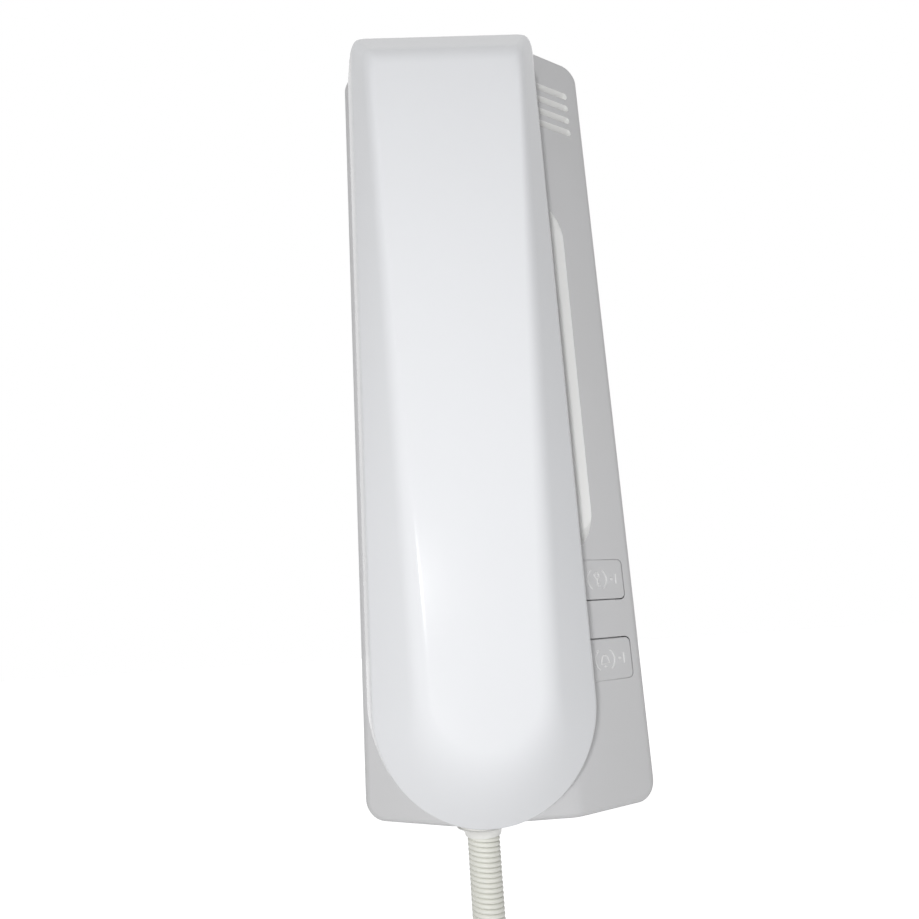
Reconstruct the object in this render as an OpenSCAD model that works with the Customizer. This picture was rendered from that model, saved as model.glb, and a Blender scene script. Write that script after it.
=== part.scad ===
// Wall intercom station: a wedge-sided wall base with a finger trough, two push keys and a
// sounder grille, a lift-off handset with a lofted front shell, and a curly cord between them.
// Frame: x to the right, y into the wall, z up. The wall is the plane y = 0, and the origin is
// the middle of the two wall screw holes. A depth is a distance out from the wall, along -y.

/* [Base] */
// Width of the base on the wall
base_w = 75; // [72:0.5:82]
// Height of the base on the wall
base_h = 221; // [216:1:236]
// Depth of the flat seat that carries the handset
seat_d = 24; // [22:0.5:27]
// Depth of the rim round the base
rim_d = 12; // [10.5:0.5:13]
// Slope of the two side panels from the wall plane
panel_angle = 28; // [26:1:32]
// Wall thickness of the cover
base_wall = 2.2; // [1.8:0.1:2.6]
// Radius of the base's corners seen from the front
corner_r = 5; // [4:0.5:8]
// Radius along the edge between rim and panels
edge_r = 1.6; // [0.8:0.1:2.4]
// Thickness of the wall plate
plate_t = 2; // [1.6:0.1:2.4]
// Gap between the wall plate and the cover's rim
plate_fit = 0.3; // [0.2:0.05:0.5]

/* [Wall screws] */
// Distance between the two wall screw holes
wall_hole_pitch = 84; // [80:1:88]
// Diameter of a wall screw hole
wall_hole_d = 4.5; // [3.5:0.1:5.5]
// Diameter of the cable entry in the wall plate
cable_hole_d = 16; // [10:1:18]

/* [Finger trough] */
// Distance of the trough's axis from the middle of the base
trough_x = 8; // [6:0.5:9]
// Distance of the trough's upper end from the base's upper end
trough_drop = 61; // [60:0.5:64]
// Distance of the trough's lower end from the base's lower end
trough_rise = 73.5; // [73:0.5:78]
// Width of the trough's floor
trough_w = 22; // [19:0.5:23]
// Corner radius of the trough's floor
trough_r = 1.5; // [1:0.1:3]
// Depth of the trough's floor from the wall
trough_floor_d = 11; // [10.5:0.1:12]
// Slope of the trough's walls
trough_angle = 45; // [43:1:50]

/* [Sounder] */
// Number of grille slots
slot_n = 4; // [3:1:5]
// Height of one slot
slot_h = 2.2; // [1.6:0.1:2.6]
// Distance from slot to slot
slot_pitch = 4.4; // [3.8:0.1:4.8]
// Length of one slot
slot_len = 15.6; // [12:0.2:17]
// Distance of the grille's middle from the base's upper end
slot_drop = 19; // [17:0.5:21]
// Diameter of the sounder capsule
sounder_d = 19; // [16:0.5:20]
// Height of the sounder capsule
sounder_t = 8; // [6:0.2:8.6]

/* [Keys] */
// Width of a key, seen from the front
key_w = 14; // [12:0.2:14.4]
// Height of a key
key_h = 10.2; // [9:0.2:11]
// Distance between the middles of the two keys
key_pitch = 20.4; // [18:0.2:22]
// Distance of the point midway between the keys from the base's lower end
key_rise = 46.3; // [44:0.1:47]
// Distance of a key's outer end from the base's side
key_edge = 3.2; // [2.8:0.1:4.4]
// How far a key stands proud of the panel
key_proud = 0.6; // [0.3:0.1:1]
// Travel of a key
key_travel = 1.5; // [1:0.1:1.8]
// Gap round a key in its hole
key_play = 0.3; // [0.2:0.05:0.5]

/* [Handset] */
// How much shorter the handset is than the base
hand_short = 16.3; // [14:0.1:20]
// Width of the handset
hand_w = 54; // [52:0.5:57]
// Distance of the handset's top end from the base's upper end
hand_drop = 13.4; // [12:0.1:15]
// Distance of the handset's axis from the middle of the base
hand_x = -7.2; // [-8:0.1:-6]
// Depth of the back shell
back_d = 6.7; // [6:0.1:7.5]
// Depth of the front shell over the parting line
front_d = 23; // [21:0.5:26]
// Wall thickness of the shells
hand_wall = 2.2; // [1.8:0.1:2.6]
// Rise of the rounded lower end
end_rise = 28; // [27:0.5:32]
// Radius of the two upper corners
top_r = 5; // [4:0.5:6]
// Height of the front shell's upright walls over the parting line
shoulder_d = 12; // [10:0.5:14]
// How far the upright walls lean in
lean = 1.8; // [1.2:0.1:2.2]
// How far the upright wall leans in at the lower end
end_lean = 1; // [0.8:0.1:1.8]
// Length of the sloping face below the top edge
brow_len = 16.5; // [15:0.1:18]
// Width of the flat front at the top end
front_w_top = 40; // [38:0.5:42]
// Width of the flat front at the lower end
front_w_low = 27.5; // [25:0.5:30]
// Gap between the handset and its seat
seat_gap = 0.3; // [0.2:0.05:0.5]

/* [Hanging and hook] */
// Width of a hanging lug
lug_w = 10; // [8:0.5:12]
// Thickness of a hanging lug
lug_t = 4; // [3:0.2:4.6]
// How far a lug stands out of the seat
lug_out = 4.2; // [3.6:0.1:4.4]
// Gap round a lug in its pocket
lug_play = 0.5; // [0.4:0.05:0.6]
// Distance of the upper lug's root from the handset's top end
lug_drop = 15.1; // [14.6:0.1:15.6]
// Distance of the lower lug's root from the handset's lower end
lug_rise = 39.6; // [38.6:0.1:41.6]
// Width of the hook lever
lever_w = 8; // [6:0.5:9]
// Diameter of the hook lever's pin
pin_d = 3; // [2.5:0.1:3.4]
// Radial running clearance on the pin
pin_play = 0.05; // [0.03:0.01:0.1]

/* [Cord] */
// Outer diameter of the curls
curl_d = 8; // [7.6:0.1:8.2]
// Diameter of the cord's wire
wire_d = 1.6; // [1.4:0.05:1.65]
// Pitch of the curls in the straight strands
curl_pitch = 2.06; // [2.06:0.02:2.4]
// Pitch of the curls round the bend
bend_pitch = 2.9; // [2.8:0.1:3.4]
// Distance of the cord's exit to the left of the handset's axis
exit_left = 1.6; // [0:0.1:2.5]
// Height of the middle of the cord's bend
bend_z = -190; // [-191:1:-170]

/* [Hidden] */
$fn = 48;

half_w = base_w / 2;
half_h = base_h / 2;
seat_x = half_w - (seat_d - rim_d) / tan(panel_angle);
inner_w = base_w - 2 * base_wall;
inner_h = base_h - 2 * base_wall;
cut = 1;
hull_gap = 0.3;

hand_len = base_h - hand_short;
hand_top = half_h - hand_drop;
hand_low = hand_top - hand_len;
trough_len = base_h - trough_drop - trough_rise;
trough_z = (trough_rise - trough_drop) / 2;

key_x = half_w - key_edge - key_w / 2;
key_z = key_rise - half_h;
key_zs = [key_z - key_pitch / 2, key_z + key_pitch / 2];
key_lip = 0.9;
key_lip_t = 1.4;
stem_r = 2.4;
switch_h = 3.4;

slot_z = half_h - slot_drop;
cable_x = -14;
cable_drop = 56.5;
cable_at = [cable_x, half_h - cable_drop];
cup_h = 3;
cup_wall = 1.6;
sounder_in = 2;
sounder_edge = key_edge + sounder_in;
sounder_x = half_w - sounder_edge - sounder_d / 2;
cup_floor = 0.6;
sounder_seat = plate_t + cup_floor;
sounder_bevel = 1;
sounder_mouth_r = 2;
sounder_mouth_t = 1.2;
slot_edge = 4.2;
slot_x = half_w - slot_edge - slot_len / 2;
slot_under = 2;

board_lift = 3;
board_d = plate_t + board_lift;
board_t = 1.6;
board_top = board_d + board_t;
board_in = 11;
board_w = base_w - board_in;
board_rise = 26.5;
board_low = board_rise - half_h;
board_drop = 76.5;
board_high = half_h - board_drop;
post_in = 5;
post_rise = 7;
post_drop = 6;
short_post_x = 12;
board_post_x = board_w / 2 - post_in;
board_post_z = [board_low + post_rise, board_high - post_drop];
board_posts = [[-board_post_x, board_post_z[1]], [board_post_x, board_post_z[1]],
  [-board_post_x, board_post_z[0]], [short_post_x, board_post_z[0]]];
board_r = 1.5;
board_hole_d = 10;
cap_in = 15;
cap_drop = 10;
cap_pitch = 16;
cap_x = cap_in - half_w;
cap_zs = [for (i = [1:3]) board_high - cap_drop - cap_pitch * i];
cap_r = 4;
cap_h = 8;
vent_len = 5;
vent_w = 0.5;
chip_x = -6;
chip_drop = 58;
chip_at = [chip_x, board_high - chip_drop];
chip_w = 6.4;
chip_len = 10;
chip_t = 2;
chip_lift = 0.4;
leg_pitch = 2.5;
leg_out = 0.4;
leg_len = 0.9;
leg_w = 0.6;
leg_h = 1.2;
diode_x = -13;
diode_drop = 30;
diode_at = [diode_x, board_high - diode_drop];
diode_pitch = 3.6;
diode_len = 5.2;
diode_r = 1;
term_x = -2;
term_drop = 10;
term_at = [term_x, board_high - term_drop];
term_pitch = 5;
term_w = 8;
term_h = 2;
term_floor = 0.8;
term_hole_r = 1.7;
term_screw_r = 1.6;
term_screw_h = 1;
term_slot = [2.4, 0.6, 0.5];

screw_r = 1.2;
screw_fit = 0.05;
screw_free = 0.4;
screw_tip = 1;
cross_w = 0.7;
cross_t = 1.4;
head_r = 2.9;
head_t = 2.2;
post_r = 3.6;
cover_screw_x = [2, 9];
cover_screw_drop = 19.6;
cover_screw_rise = 9.6;
cover_screw_at = [[cover_screw_x[0], hand_top - cover_screw_drop],
  [cover_screw_x[1], hand_low + cover_screw_rise]];
cover_seat_d = 12;
boss_floor = 3;
boss_wall = 2;
rest_drop = 26.1;
rest_rise = 23.6;
rest_zs = [hand_top - rest_drop, hand_low + rest_rise];
rest_h = 13;
rest_w = 14;
rest_in = 1;

back_d0 = seat_d + seat_gap;
part_d = back_d0 + back_d;
face_d = part_d + front_d;
hand_half = hand_w / 2;
end_z = hand_low + end_rise;
land_d = 1.2;
soft_rim = 3;
soft_edge = 4;
soft_brow = 2;
core_in = 3;
core_top = hand_top - brow_len - soft_brow * 2;
core_up = 8;
core_low = end_z + core_up;
core_rise = 16;
core_r = 2;
hand_screw_drop = 61.1;
hand_screw_rise = 63.6;
hand_screw_zs = [hand_top - hand_screw_drop, hand_low + hand_screw_rise];
hand_screw_len = 12;
boss_joint = 2;
boss_sink = 4;
bore_short = 6;
joint_d = part_d - boss_joint;
sink_d = part_d - boss_sink;
bore_end_d = face_d - bore_short;
hand_boss_wall = 1.8;
back_edge = 5;

lug_z_top = hand_top - lug_drop;
lug_z_low = hand_low + lug_rise;
ear_drop = 34.1;
ear_z = hand_top - ear_drop;
ear_r = 16.5;
ear_t = 9;
ear_dish_r = 15;
ear_dish_t = 1.2;
ear_hole_r = 1.1;
ear_hole_ring = 6;
ear_dish_in = 4;
ear_dish_skim = 0.01;
ear_ring_up = 2;
ear_ring_d = part_d + ear_ring_up;
ear_rim = 3;
ear_rim_t = 3;
ear_slope = 1;
ear_hub_in = 6;
ear_hub_t = 5;
ear_hollow = 0.8;
ear_seat_d = back_d0 + hand_wall + ear_dish_t;
ring_t = 1.5;
gasket_t = 1;
fit = 0.2;
mic_drop = 8;
mic_z = end_z - mic_drop;
mic_r = 4.85;
mic_t = 5;
boot_t = 1.4;
mic_hole_r = 1.2;
mic_ring_low = 1;
boot_low = 1;
mic_seat_d = back_d0 + hand_wall;

pin_rise = 11.6;
pin_z = hand_low + pin_rise;
pin_depth = 13;
lever_t = 3;
lever_len = 36;
lever_top = pin_z + lever_len;
lever_d = 11.5;
nose_up = 20;
nose_z = pin_z + nose_up;
nose_h = 6;
nose_gap = 0.3;
nose_d = back_d0 - nose_gap;
hub_wall = 1.8;
window_play = 1.2;
window_room = 8;
window_w = lever_w + window_play;
window_h = nose_h + window_room;
window_drop = 2;
foot_half = 5;
tip_half = 3;
spigot_h = 2;
ear_plate_t = 2.5;
ear_gap = 0.4;
spring_up = 6.8;
spring_z = pin_z + spring_up;
spring_r = 2.5;
spring_wire = 0.7;
spring_n = 5;
switch_up = 32.5;
switch_z = pin_z + switch_up;
switch_w = 9;
switch_t = 5;
plunger_h = 1;
key_switch_w = 6;
key_button_h = 0.6;
key_button_r = 1.75;
key_r = 1.2;

cord_play = 0.3;
gland_wall = 0.9;
gland_in_r = curl_d / 2 + cord_play;
gland_r = gland_in_r + gland_wall;
gland_fit = 0.15;
gland_lip = 0.9;
gland_cap = 1.6;
collar_out = 0.7;
collar_r = gland_r + collar_out;
collar_gap = 0.4;
collar_h = 0.4;
collar_nose = 2.2;
collar_lip = 0.4;
bore_out = 5;
hand_root = 5.5;
hand_lip = 9;
base_root = 7;
exit_up = 2;
hand_exit_d = part_d + exit_up;
base_exit_d = 8.5;
exit_aside = 1.05;
hand_exit_x = hand_x - exit_left;
base_exit_x = hand_exit_x + exit_aside;

bend_r = (hand_exit_d - base_exit_d) / 2;
bend_len = PI * bend_r;
curl_r = (curl_d - wire_d) / 2;
hand_root_z = hand_low + hand_root;
base_root_z = -half_h + base_root;
front_strand = hand_root_z - bend_z;
back_strand = base_root_z - bend_z;
cord_len = front_strand + bend_len + back_strand;
rings_per_curl = 8;
wire_sides = 6;
run_in = 6;
run_in_gain = 11;
ease = 10;

// Depth of a side panel's face at a distance x from the middle
function panel_d(x) = rim_d + (half_w - abs(x)) * tan(panel_angle);

// Points of an arc of radius r in the corner b between a and c
function corner_arc(a, b, c, r, n = 4) =
  let (u = (a - b) / norm(a - b), v = (c - b) / norm(c - b), half = acos(u * v) / 2)
  let (o = b + (u + v) / norm(u + v) * r / sin(half))
  let (p = b + u * r / tan(half) - o, q = b + v * r / tan(half) - o)
  let (a0 = atan2(p[1], p[0]), turn = (atan2(q[1], q[0]) - a0 + 540) % 360 - 180)
  [for (i = [0:n]) o + r * [cos(a0 + turn * i / n), sin(a0 + turn * i / n)]];

// Cross-section of the base, set in by t all round, open to the wall
function base_section(t) =
  let (w = half_w - t, top = seat_d - t, rim = rim_d + t * tan(panel_angle) - t / cos(panel_angle))
  let (flat = w - (top - rim) / tan(panel_angle), r = max(edge_r - t, 0.3))
  let (side = concat([[w, t > 0 ? cut : 0]], corner_arc([w, 0], [w, -rim], [flat, -top], r),
    corner_arc([w, -rim], [flat, -top], [-flat, -top], 2 * r)))
  concat(side, [for (i = [len(side) - 1:-1:0]) [-side[i][0], side[i][1]]]);

// A closed loop of the handset's kind: rounded lower end, straight sides, two upper corners
function hand_loop(low, high, z_end, rise, z_top, r) =
  let (arc_n = 10, side_n = 6, corner_n = 3, top_n = 2)
  let (half = concat(
    [for (i = [0:arc_n]) [low * sin(90 * i / arc_n), z_end - rise * cos(90 * i / arc_n)]],
    [for (i = [1:side_n]) [low + (high - low) * i / side_n, z_end + (z_top - r - z_end) * i / side_n]],
    [for (i = [1:corner_n]) [high - r + r * cos(90 * i / corner_n), z_top - r + r * sin(90 * i / corner_n)]],
    [for (i = [1:top_n]) [(high - r) * (1 - i / top_n), z_top]]))
  concat(half, [for (i = [len(half) - 2:-1:1]) [-half[i][0], half[i][1]]]);

// Outline of the handset at the parting line, set in by t
function hand_outline(t) =
  hand_loop(hand_half - t, hand_half - t, end_z, end_rise - t, hand_top - t, max(top_r - t, 1));

// Half width of the flat front at a height z
function front_half(z) =
  (front_w_low + (front_w_top - front_w_low) * (z - end_z) / (hand_top - brow_len - end_z)) / 2;

// The lesser of a and b, rounded over a height k
function soft_min(a, b, k) = min(a, b) - pow(max(k - abs(a - b), 0), 2) / (4 * k);

// Height of the front shell over the parting line at [x, z], for a surface set in by t
function front_height(p, t) =
  let (w = hand_half - t, full = front_d - t, flat = front_half(p[1]) - 0.3 * t, foot = shoulder_d - 0.4 * t)
  let (low = max(end_z - p[1], 0) / (end_rise - t), side = w - norm([p[0], low * w]))
  let (top = hand_top - t - p[1], r = max(top_r - t, 1))
  let (in = side < r && top < r ? r - norm([r - side, r - top]) : min(side, top))
  let (wall = land_d + (shoulder_d - land_d) * max(in, 0) / (lean + (end_lean - lean) * min(low, 1)))
  let (bevel = foot + (full - foot) * (side - lean) / (w - flat - lean))
  let (brow = foot + (full - foot) * (top - lean) / (brow_len - lean))
  soft_min(soft_min(soft_min(wall, bevel, soft_rim), full, soft_edge), brow, soft_brow);

// Rings of the front shell from the parting line to the flat front, set in by t
function front_rings(t, steps) =
  let (rim = hand_outline(t), in = core_in + t)
  let (w_low = front_half(core_low) - in, w_top = front_half(core_top) - in)
  let (core = hand_loop(w_low, w_top, core_low, core_rise, core_top, core_r))
  concat([[for (p = rim) [p[0], -part_d, p[1]]]],
    [for (s = steps) [for (i = [0:len(rim) - 1]) let (p = rim[i] + (core[i] - rim[i]) * s)
      [p[0], -part_d - (s == 1 ? front_d - t : front_height(p, t)), p[1]]]]);

// Rings of the back shell from the parting line to the flat back, set in by t
function back_rings(t, steps) =
  [for (a = steps) let (loop = hand_outline(t + (back_edge - t) * (1 - cos(a))))
    [for (p = loop) [p[0], -part_d + (back_d - t) * sin(a), p[1]]]];

function reverse(list) = [for (i = [len(list) - 1:-1:0]) list[i]];

// Axis of the curly cord at a length s: down from the handset, round the bend, up to the base
function cord_axis(s) =
  let (b = (s - front_strand) / bend_r * 180 / PI, k = s / cord_len)
  let (x = hand_exit_x + (base_exit_x - hand_exit_x) * k)
  s < front_strand ? [x, -hand_exit_d, hand_root_z - s]
  : s < front_strand + bend_len
    ? [x, -base_exit_d - bend_r - bend_r * cos(b), bend_z - bend_r * sin(b)]
    : [x, -base_exit_d, bend_z + s - front_strand - bend_len];

// Direction across the cord's axis, in the plane of the bend
function cord_across(s) =
  let (b = min(max((s - front_strand) / bend_len, 0), 1) * 180)
  [0, -cos(b), -sin(b)];

// Pitch of the curls at a length s from a strand's root: long at the root, wider round the bend
function pitch_at(s, strand) =
  let (bend = min(max((s - strand) / ease + 1, 0), 1), root = max(1 - (s - wire_d) / run_in, 0))
  (curl_pitch + (bend_pitch - curl_pitch) * bend) * (1 + run_in_gain * root * root);

// Lengths from a strand's root to past the middle of the bend, a part of a curl at a time
function cord_steps(strand, s, list) =
  s > strand + bend_len / 2 ? concat(list, [s])
  : cord_steps(strand, s + pitch_at(s, strand) / rings_per_curl, concat(list, [s]));

// The same lengths, drawn together so that the last is at the middle of the bend
function half_steps(strand) =
  let (list = cord_steps(strand, wire_d, [0]), k = (strand + bend_len / 2) / list[len(list) - 1])
  list * k;

back_steps = reverse(half_steps(back_strand));
cord_s = concat(half_steps(front_strand), [for (i = [1:len(back_steps) - 1]) cord_len - back_steps[i]]);
cord_n = len(cord_s) - 1;

// Direction from the axis to the wire at its ring i, the same over the straight ends
function cord_out(i) =
  let (a = 360 * min(max(i, 1), cord_n - 1) / rings_per_curl)
  cos(a) * cord_across(cord_s[i]) + sin(a) * [1, 0, 0];

cord_wire = [for (i = [0:cord_n]) cord_axis(cord_s[i]) + curl_r * cord_out(i)];

// Ring of the wire round its point i, square to its run
function wire_ring(i) =
  let (run = cord_wire[min(i + 1, cord_n)] - cord_wire[max(i - 1, 0)])
  let (t = i == 0 ? [0, 0, -1] : i == cord_n ? [0, 0, 1] : run / norm(run), out = cord_out(i))
  let (u0 = out - (out * t) * t, u = u0 / norm(u0), v = cross(t, u))
  [for (k = [0:wire_sides - 1]) let (b = 360 * k / wire_sides)
    cord_wire[i] + wire_d / 2 * (cos(b) * u + sin(b) * v)];

// Least gap between stretches of the wire that lie half a curl or more apart
function last_near(i) = min(i + 3 * rings_per_curl, cord_n);
cord_gap = min([for (i = [0:cord_n], j = [i + rings_per_curl / 2:last_near(i)])
  norm(cord_wire[i] - cord_wire[j])]) - wire_d;
wire_steps = [for (i = [1:cord_n]) norm(cord_wire[i] - cord_wire[i - 1])];
wire_len = wire_steps * [for (i = wire_steps) 1];
echo(str("least gap between curls ", cord_gap, " mm"));
echo(str("curls ", cord_n / rings_per_curl, ", wire ", wire_len, " mm"));

// A plate drawn in x and z, from depth d0 to depth d1
module slab(d0, d1) {
  translate([0, -d0, 0]) rotate([90, 0, 0]) linear_extrude(d1 - d0) children();
}

// A profile drawn in y and z, as wide as w round the plane x
module across(x, w) {
  translate([x - w / 2, 0, 0]) rotate([90, 0, 90]) linear_extrude(w) children();
}

// A round bar along the depth
module peg(at, d0, d1, r) {
  translate([at[0], -d0, at[1]]) rotate([90, 0, 0]) cylinder(h = d1 - d0, r = r);
}

// A rectangle with round corners
module plate_shape(w, h, r) {
  square([w - 2 * r, h], center = true);
  square([w, h - 2 * r], center = true);
  for (x = [-1, 1], z = [-1, 1]) translate([x * (w / 2 - r), z * (h / 2 - r)]) circle(r);
}

// A solid skinned over closed rings of equal count, with flat ends
module skin(rings) {
  n = len(rings[0]);
  last = (len(rings) - 1) * n;
  sides = [for (k = [0:len(rings) - 2], i = [0:n - 1]) let (a = k * n + i, b = k * n + (i + 1) % n)
    each [[a, b, b + n], [a, b + n, a + n]]];
  ends = [[for (i = [n - 1:-1:0]) i], [for (i = [0:n - 1]) last + i]];
  polyhedron(points = [for (r = rings) each r], faces = concat(sides, ends), convexity = 6);
}

// The trough as a solid with sloping walls and conical corners, grown by t
module trough(t) {
  d0 = trough_floor_d - t;
  d1 = seat_d + cut;
  x = trough_w / 2 - trough_r;
  z = trough_len / 2 - trough_r;
  r0 = trough_r + t / sin(trough_angle) - t / tan(trough_angle);
  r1 = r0 + (d1 - d0) / tan(trough_angle);
  translate([trough_x, 0, trough_z]) {
    translate([0, 0, -z]) linear_extrude(2 * z)
      polygon([[-x - r0, -d0], [x + r0, -d0], [x + r1, -d1], [-x - r1, -d1]]);
    across(0, 2 * x) polygon([[-d0, -z - r0], [-d0, z + r0], [-d1, z + r1], [-d1, -z - r1]]);
    for (i = [-1, 1], j = [-1, 1]) translate([i * x, 0, j * z]) rotate([90, 0, 0])
      rotate_extrude() polygon([[0, d0], [r0, d0], [r1, d1], [0, d1]]);
  }
}

// A hanging lug: a tongue that slants up and out at 45 degrees, grown by t
module lug(z, t) {
  root = seat_d - base_wall / 2;
  tip = seat_d + lug_out + t;
  lift = base_wall / 2;
  across(hand_x, lug_w + 2 * t) polygon([[-root, z - lift - t], [-tip, z + lug_out],
    [-tip, z + lug_out + lug_t + 2 * t], [-root, z - lift + lug_t + t]]);
}

// Outside form of the base
module base_form() {
  intersection() {
    translate([0, 0, -half_h]) linear_extrude(base_h) polygon(base_section(0));
    slab(0, seat_d) plate_shape(base_w, base_h, corner_r);
  }
}

// Space inside the base
module base_space() {
  intersection() {
    translate([0, 0, -inner_h / 2]) linear_extrude(inner_h) polygon(base_section(base_wall));
    slab(-cut, seat_d) plate_shape(inner_w, inner_h, corner_r - base_wall);
  }
}

// Shape of a key seen from the front, grown by t
module key_shape(t) {
  plate_shape(key_w + 2 * t, key_h + 2 * t, key_r + t);
}

// A bar that follows the right panel, from the heights a to b over its face, as wide as a key
module panel_bar(a, b, x0, x1, h) {
  translate([0, 0, -h / 2]) linear_extrude(h) polygon([[x0, -panel_d(x0) - a], [x1, -panel_d(x1) - a],
    [x1, -panel_d(x1) - b], [x0, -panel_d(x0) - b]]);
}

module wall_plate() color("gainsboro") {
  ear_x = lever_w / 2 + ear_gap + ear_plate_t / 2;
  ear_d = pin_depth + tip_half;
  plate_r = corner_r - base_wall;
  difference() {
    slab(0, plate_t) plate_shape(inner_w - 2 * plate_fit, inner_h - 2 * plate_fit, plate_r);
    for (z = [-1, 1]) peg([0, z * wall_hole_pitch / 2], -cut, plate_t + cut, wall_hole_d / 2);
    peg(cable_at, -cut, plate_t + cut, cable_hole_d / 2);
  }
  for (p = board_posts) difference() {
    peg(p, plate_t, board_d, post_r);
    peg(p, plate_t, board_d + cut, screw_r + screw_fit);
  }
  for (p = cover_screw_at) difference() {
    peg(p, plate_t, cover_seat_d - boss_floor, post_r);
    peg(p, plate_t, cover_seat_d, screw_r + screw_fit);
  }
  difference() {
    peg([sounder_x, slot_z], plate_t, plate_t + cup_h, sounder_d / 2 + cup_wall);
    peg([sounder_x, slot_z], sounder_seat, plate_t + cup_h + cut, sounder_d / 2 + fit);
  }
  peg([hand_x, spring_z], plate_t, plate_t + spigot_h, spring_r - spring_wire / 2 - fit);
  for (s = [-1, 1]) difference() {
    across(hand_x + s * ear_x, ear_plate_t) polygon([[-plate_t, pin_z - foot_half],
      [-ear_d, pin_z - tip_half], [-ear_d, pin_z + tip_half], [-plate_t, pin_z + foot_half]]);
    translate([hand_x + s * ear_x - ear_plate_t, -pin_depth, pin_z]) rotate([0, 90, 0])
      cylinder(h = 2 * ear_plate_t, r = pin_d / 2);
  }
}

// A low rest on the left panel, level with the seat, from the height z up
module rest(z) {
  x = seat_x + rest_w;
  translate([0, 0, z]) linear_extrude(rest_h) polygon([[-seat_x, -seat_d], [-x, -seat_d],
    [-x, -panel_d(x) + rest_in], [-seat_x, -seat_d + rest_in]]);
}

// A grille slot seen from the front
module slot_shape() {
  square([slot_len - slot_h, slot_h], center = true);
  for (x = [-1, 1]) translate([x * (slot_len - slot_h) / 2, 0]) circle(d = slot_h);
}

module base_cover() color("whitesmoke") {
  difference() {
    union() {
      difference() {
        base_form();
        base_space();
      }
      intersection() {
        base_form();
        trough(base_wall);
      }
      for (p = cover_screw_at) peg(p, cover_seat_d - boss_floor, seat_d - base_wall / 2, head_r + 2);
      for (z = [lug_z_top, lug_z_low]) lug(z, 0);
      for (z = rest_zs) rest(z);
    }
    trough(0);
    for (i = [0:slot_n - 1]) translate([slot_x, 0, slot_z + (i - (slot_n - 1) / 2) * slot_pitch])
      slab(rim_d - base_wall - slot_under, seat_d + cut) slot_shape();
    for (z = key_zs) translate([key_x, 0, z]) slab(plate_t, seat_d + cut) key_shape(key_play);
    for (p = cover_screw_at) {
      peg(p, cover_seat_d, seat_d + cut, head_r + fit);
      peg(p, 0, seat_d, screw_r + screw_free);
    }
    translate([hand_x, 0, nose_z - window_drop]) slab(lever_d, seat_d + cut)
      square([window_w, window_h], center = true);
    translate([base_exit_x, -base_exit_d, -half_h - cut])
      cylinder(h = base_wall + 2 * cut, r = gland_r + gland_fit);
  }
}

module circuit_board() color("seagreen") difference() {
  translate([0, 0, (board_low + board_high) / 2]) slab(board_d, board_top)
    plate_shape(board_w, board_high - board_low, board_r);
  for (p = board_posts) peg(p, board_d - cut, board_top + cut, screw_r + screw_free);
  peg([0, -wall_hole_pitch / 2], board_d - cut, board_top + cut, board_hole_d / 2);
}

module capacitors() color("midnightblue") for (z = cap_zs) difference() {
  peg([cap_x, z], board_top, board_top + cap_h, cap_r);
  translate([cap_x, -board_top - cap_h, z]) for (a = [0, 90]) rotate([0, a, 0])
    cube([vent_len, vent_w, vent_w], center = true);
}

module audio_chip() color("dimgray") translate([chip_at[0], 0, chip_at[1]]) {
  slab(board_top + chip_lift, board_top + chip_t) square([chip_w, chip_len], center = true);
  for (s = [-1, 1], i = [0:3]) translate([s * (chip_w / 2 + leg_out), 0, (i - 1.5) * leg_pitch])
    slab(board_top, board_top + leg_h) square([leg_len, leg_w], center = true);
}

module diodes() color("black") for (i = [0:3])
  translate([diode_at[0] + diode_pitch * i, -board_top - diode_r, diode_at[1]])
    cylinder(h = diode_len, r = diode_r);

// Place of the screw i in the terminal block
function term_screw_at(i) = term_at + [(i - 1.5) * term_pitch, 0];

module terminal_block() color("darkgreen") difference() {
  translate([term_at[0], 0, term_at[1]]) slab(board_top, board_top + term_h)
    square([4 * term_pitch, term_w], center = true);
  for (i = [0:3])
    peg(term_screw_at(i), board_top + term_floor, board_top + term_h + cut, term_hole_r);
}

module terminal_screws() color("silver") for (i = [0:3]) let (at = term_screw_at(i))
  let (top = board_top + term_floor + term_screw_h) difference() {
    peg(at, board_top + term_floor, top, term_screw_r);
    translate([at[0], -top, at[1]]) cube(term_slot, center = true);
  }

module sounder() color("ivory") translate([sounder_x, -sounder_seat, slot_z]) rotate([90, 0, 0])
  rotate_extrude() polygon([[0, 0], [sounder_d / 2, 0], [sounder_d / 2, sounder_t - sounder_bevel],
    [sounder_d / 2 - sounder_bevel, sounder_t], [sounder_mouth_r, sounder_t],
    [sounder_mouth_r, sounder_t - sounder_mouth_t], [0, sounder_t - sounder_mouth_t]]);

module hook_lever() color("white") {
  face = lever_d + lever_t;
  half = nose_h / 2;
  difference() {
    union() {
      across(hand_x, lever_w) polygon([[-lever_d, pin_z], [-face, pin_z], [-face, nose_z - half],
        [-nose_d + 1, nose_z - half], [-nose_d, nose_z - half + 1], [-nose_d, nose_z + half - 1],
        [-nose_d + 1, nose_z + half], [-face, nose_z + half + 1], [-face, lever_top],
        [-lever_d, lever_top]]);
      translate([hand_x - lever_w / 2, -pin_depth, pin_z]) rotate([0, 90, 0])
        cylinder(h = lever_w, r = pin_d / 2 + hub_wall);
    }
    translate([hand_x - lever_w, -pin_depth, pin_z]) rotate([0, 90, 0])
      cylinder(h = 2 * lever_w, r = pin_d / 2 + pin_play);
  }
}

module hook_pin() color("silver") {
  len = lever_w + 2 * (ear_gap + ear_plate_t);
  translate([hand_x - len / 2, -pin_depth, pin_z]) rotate([0, 90, 0]) cylinder(h = len, r = pin_d / 2);
}

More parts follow.
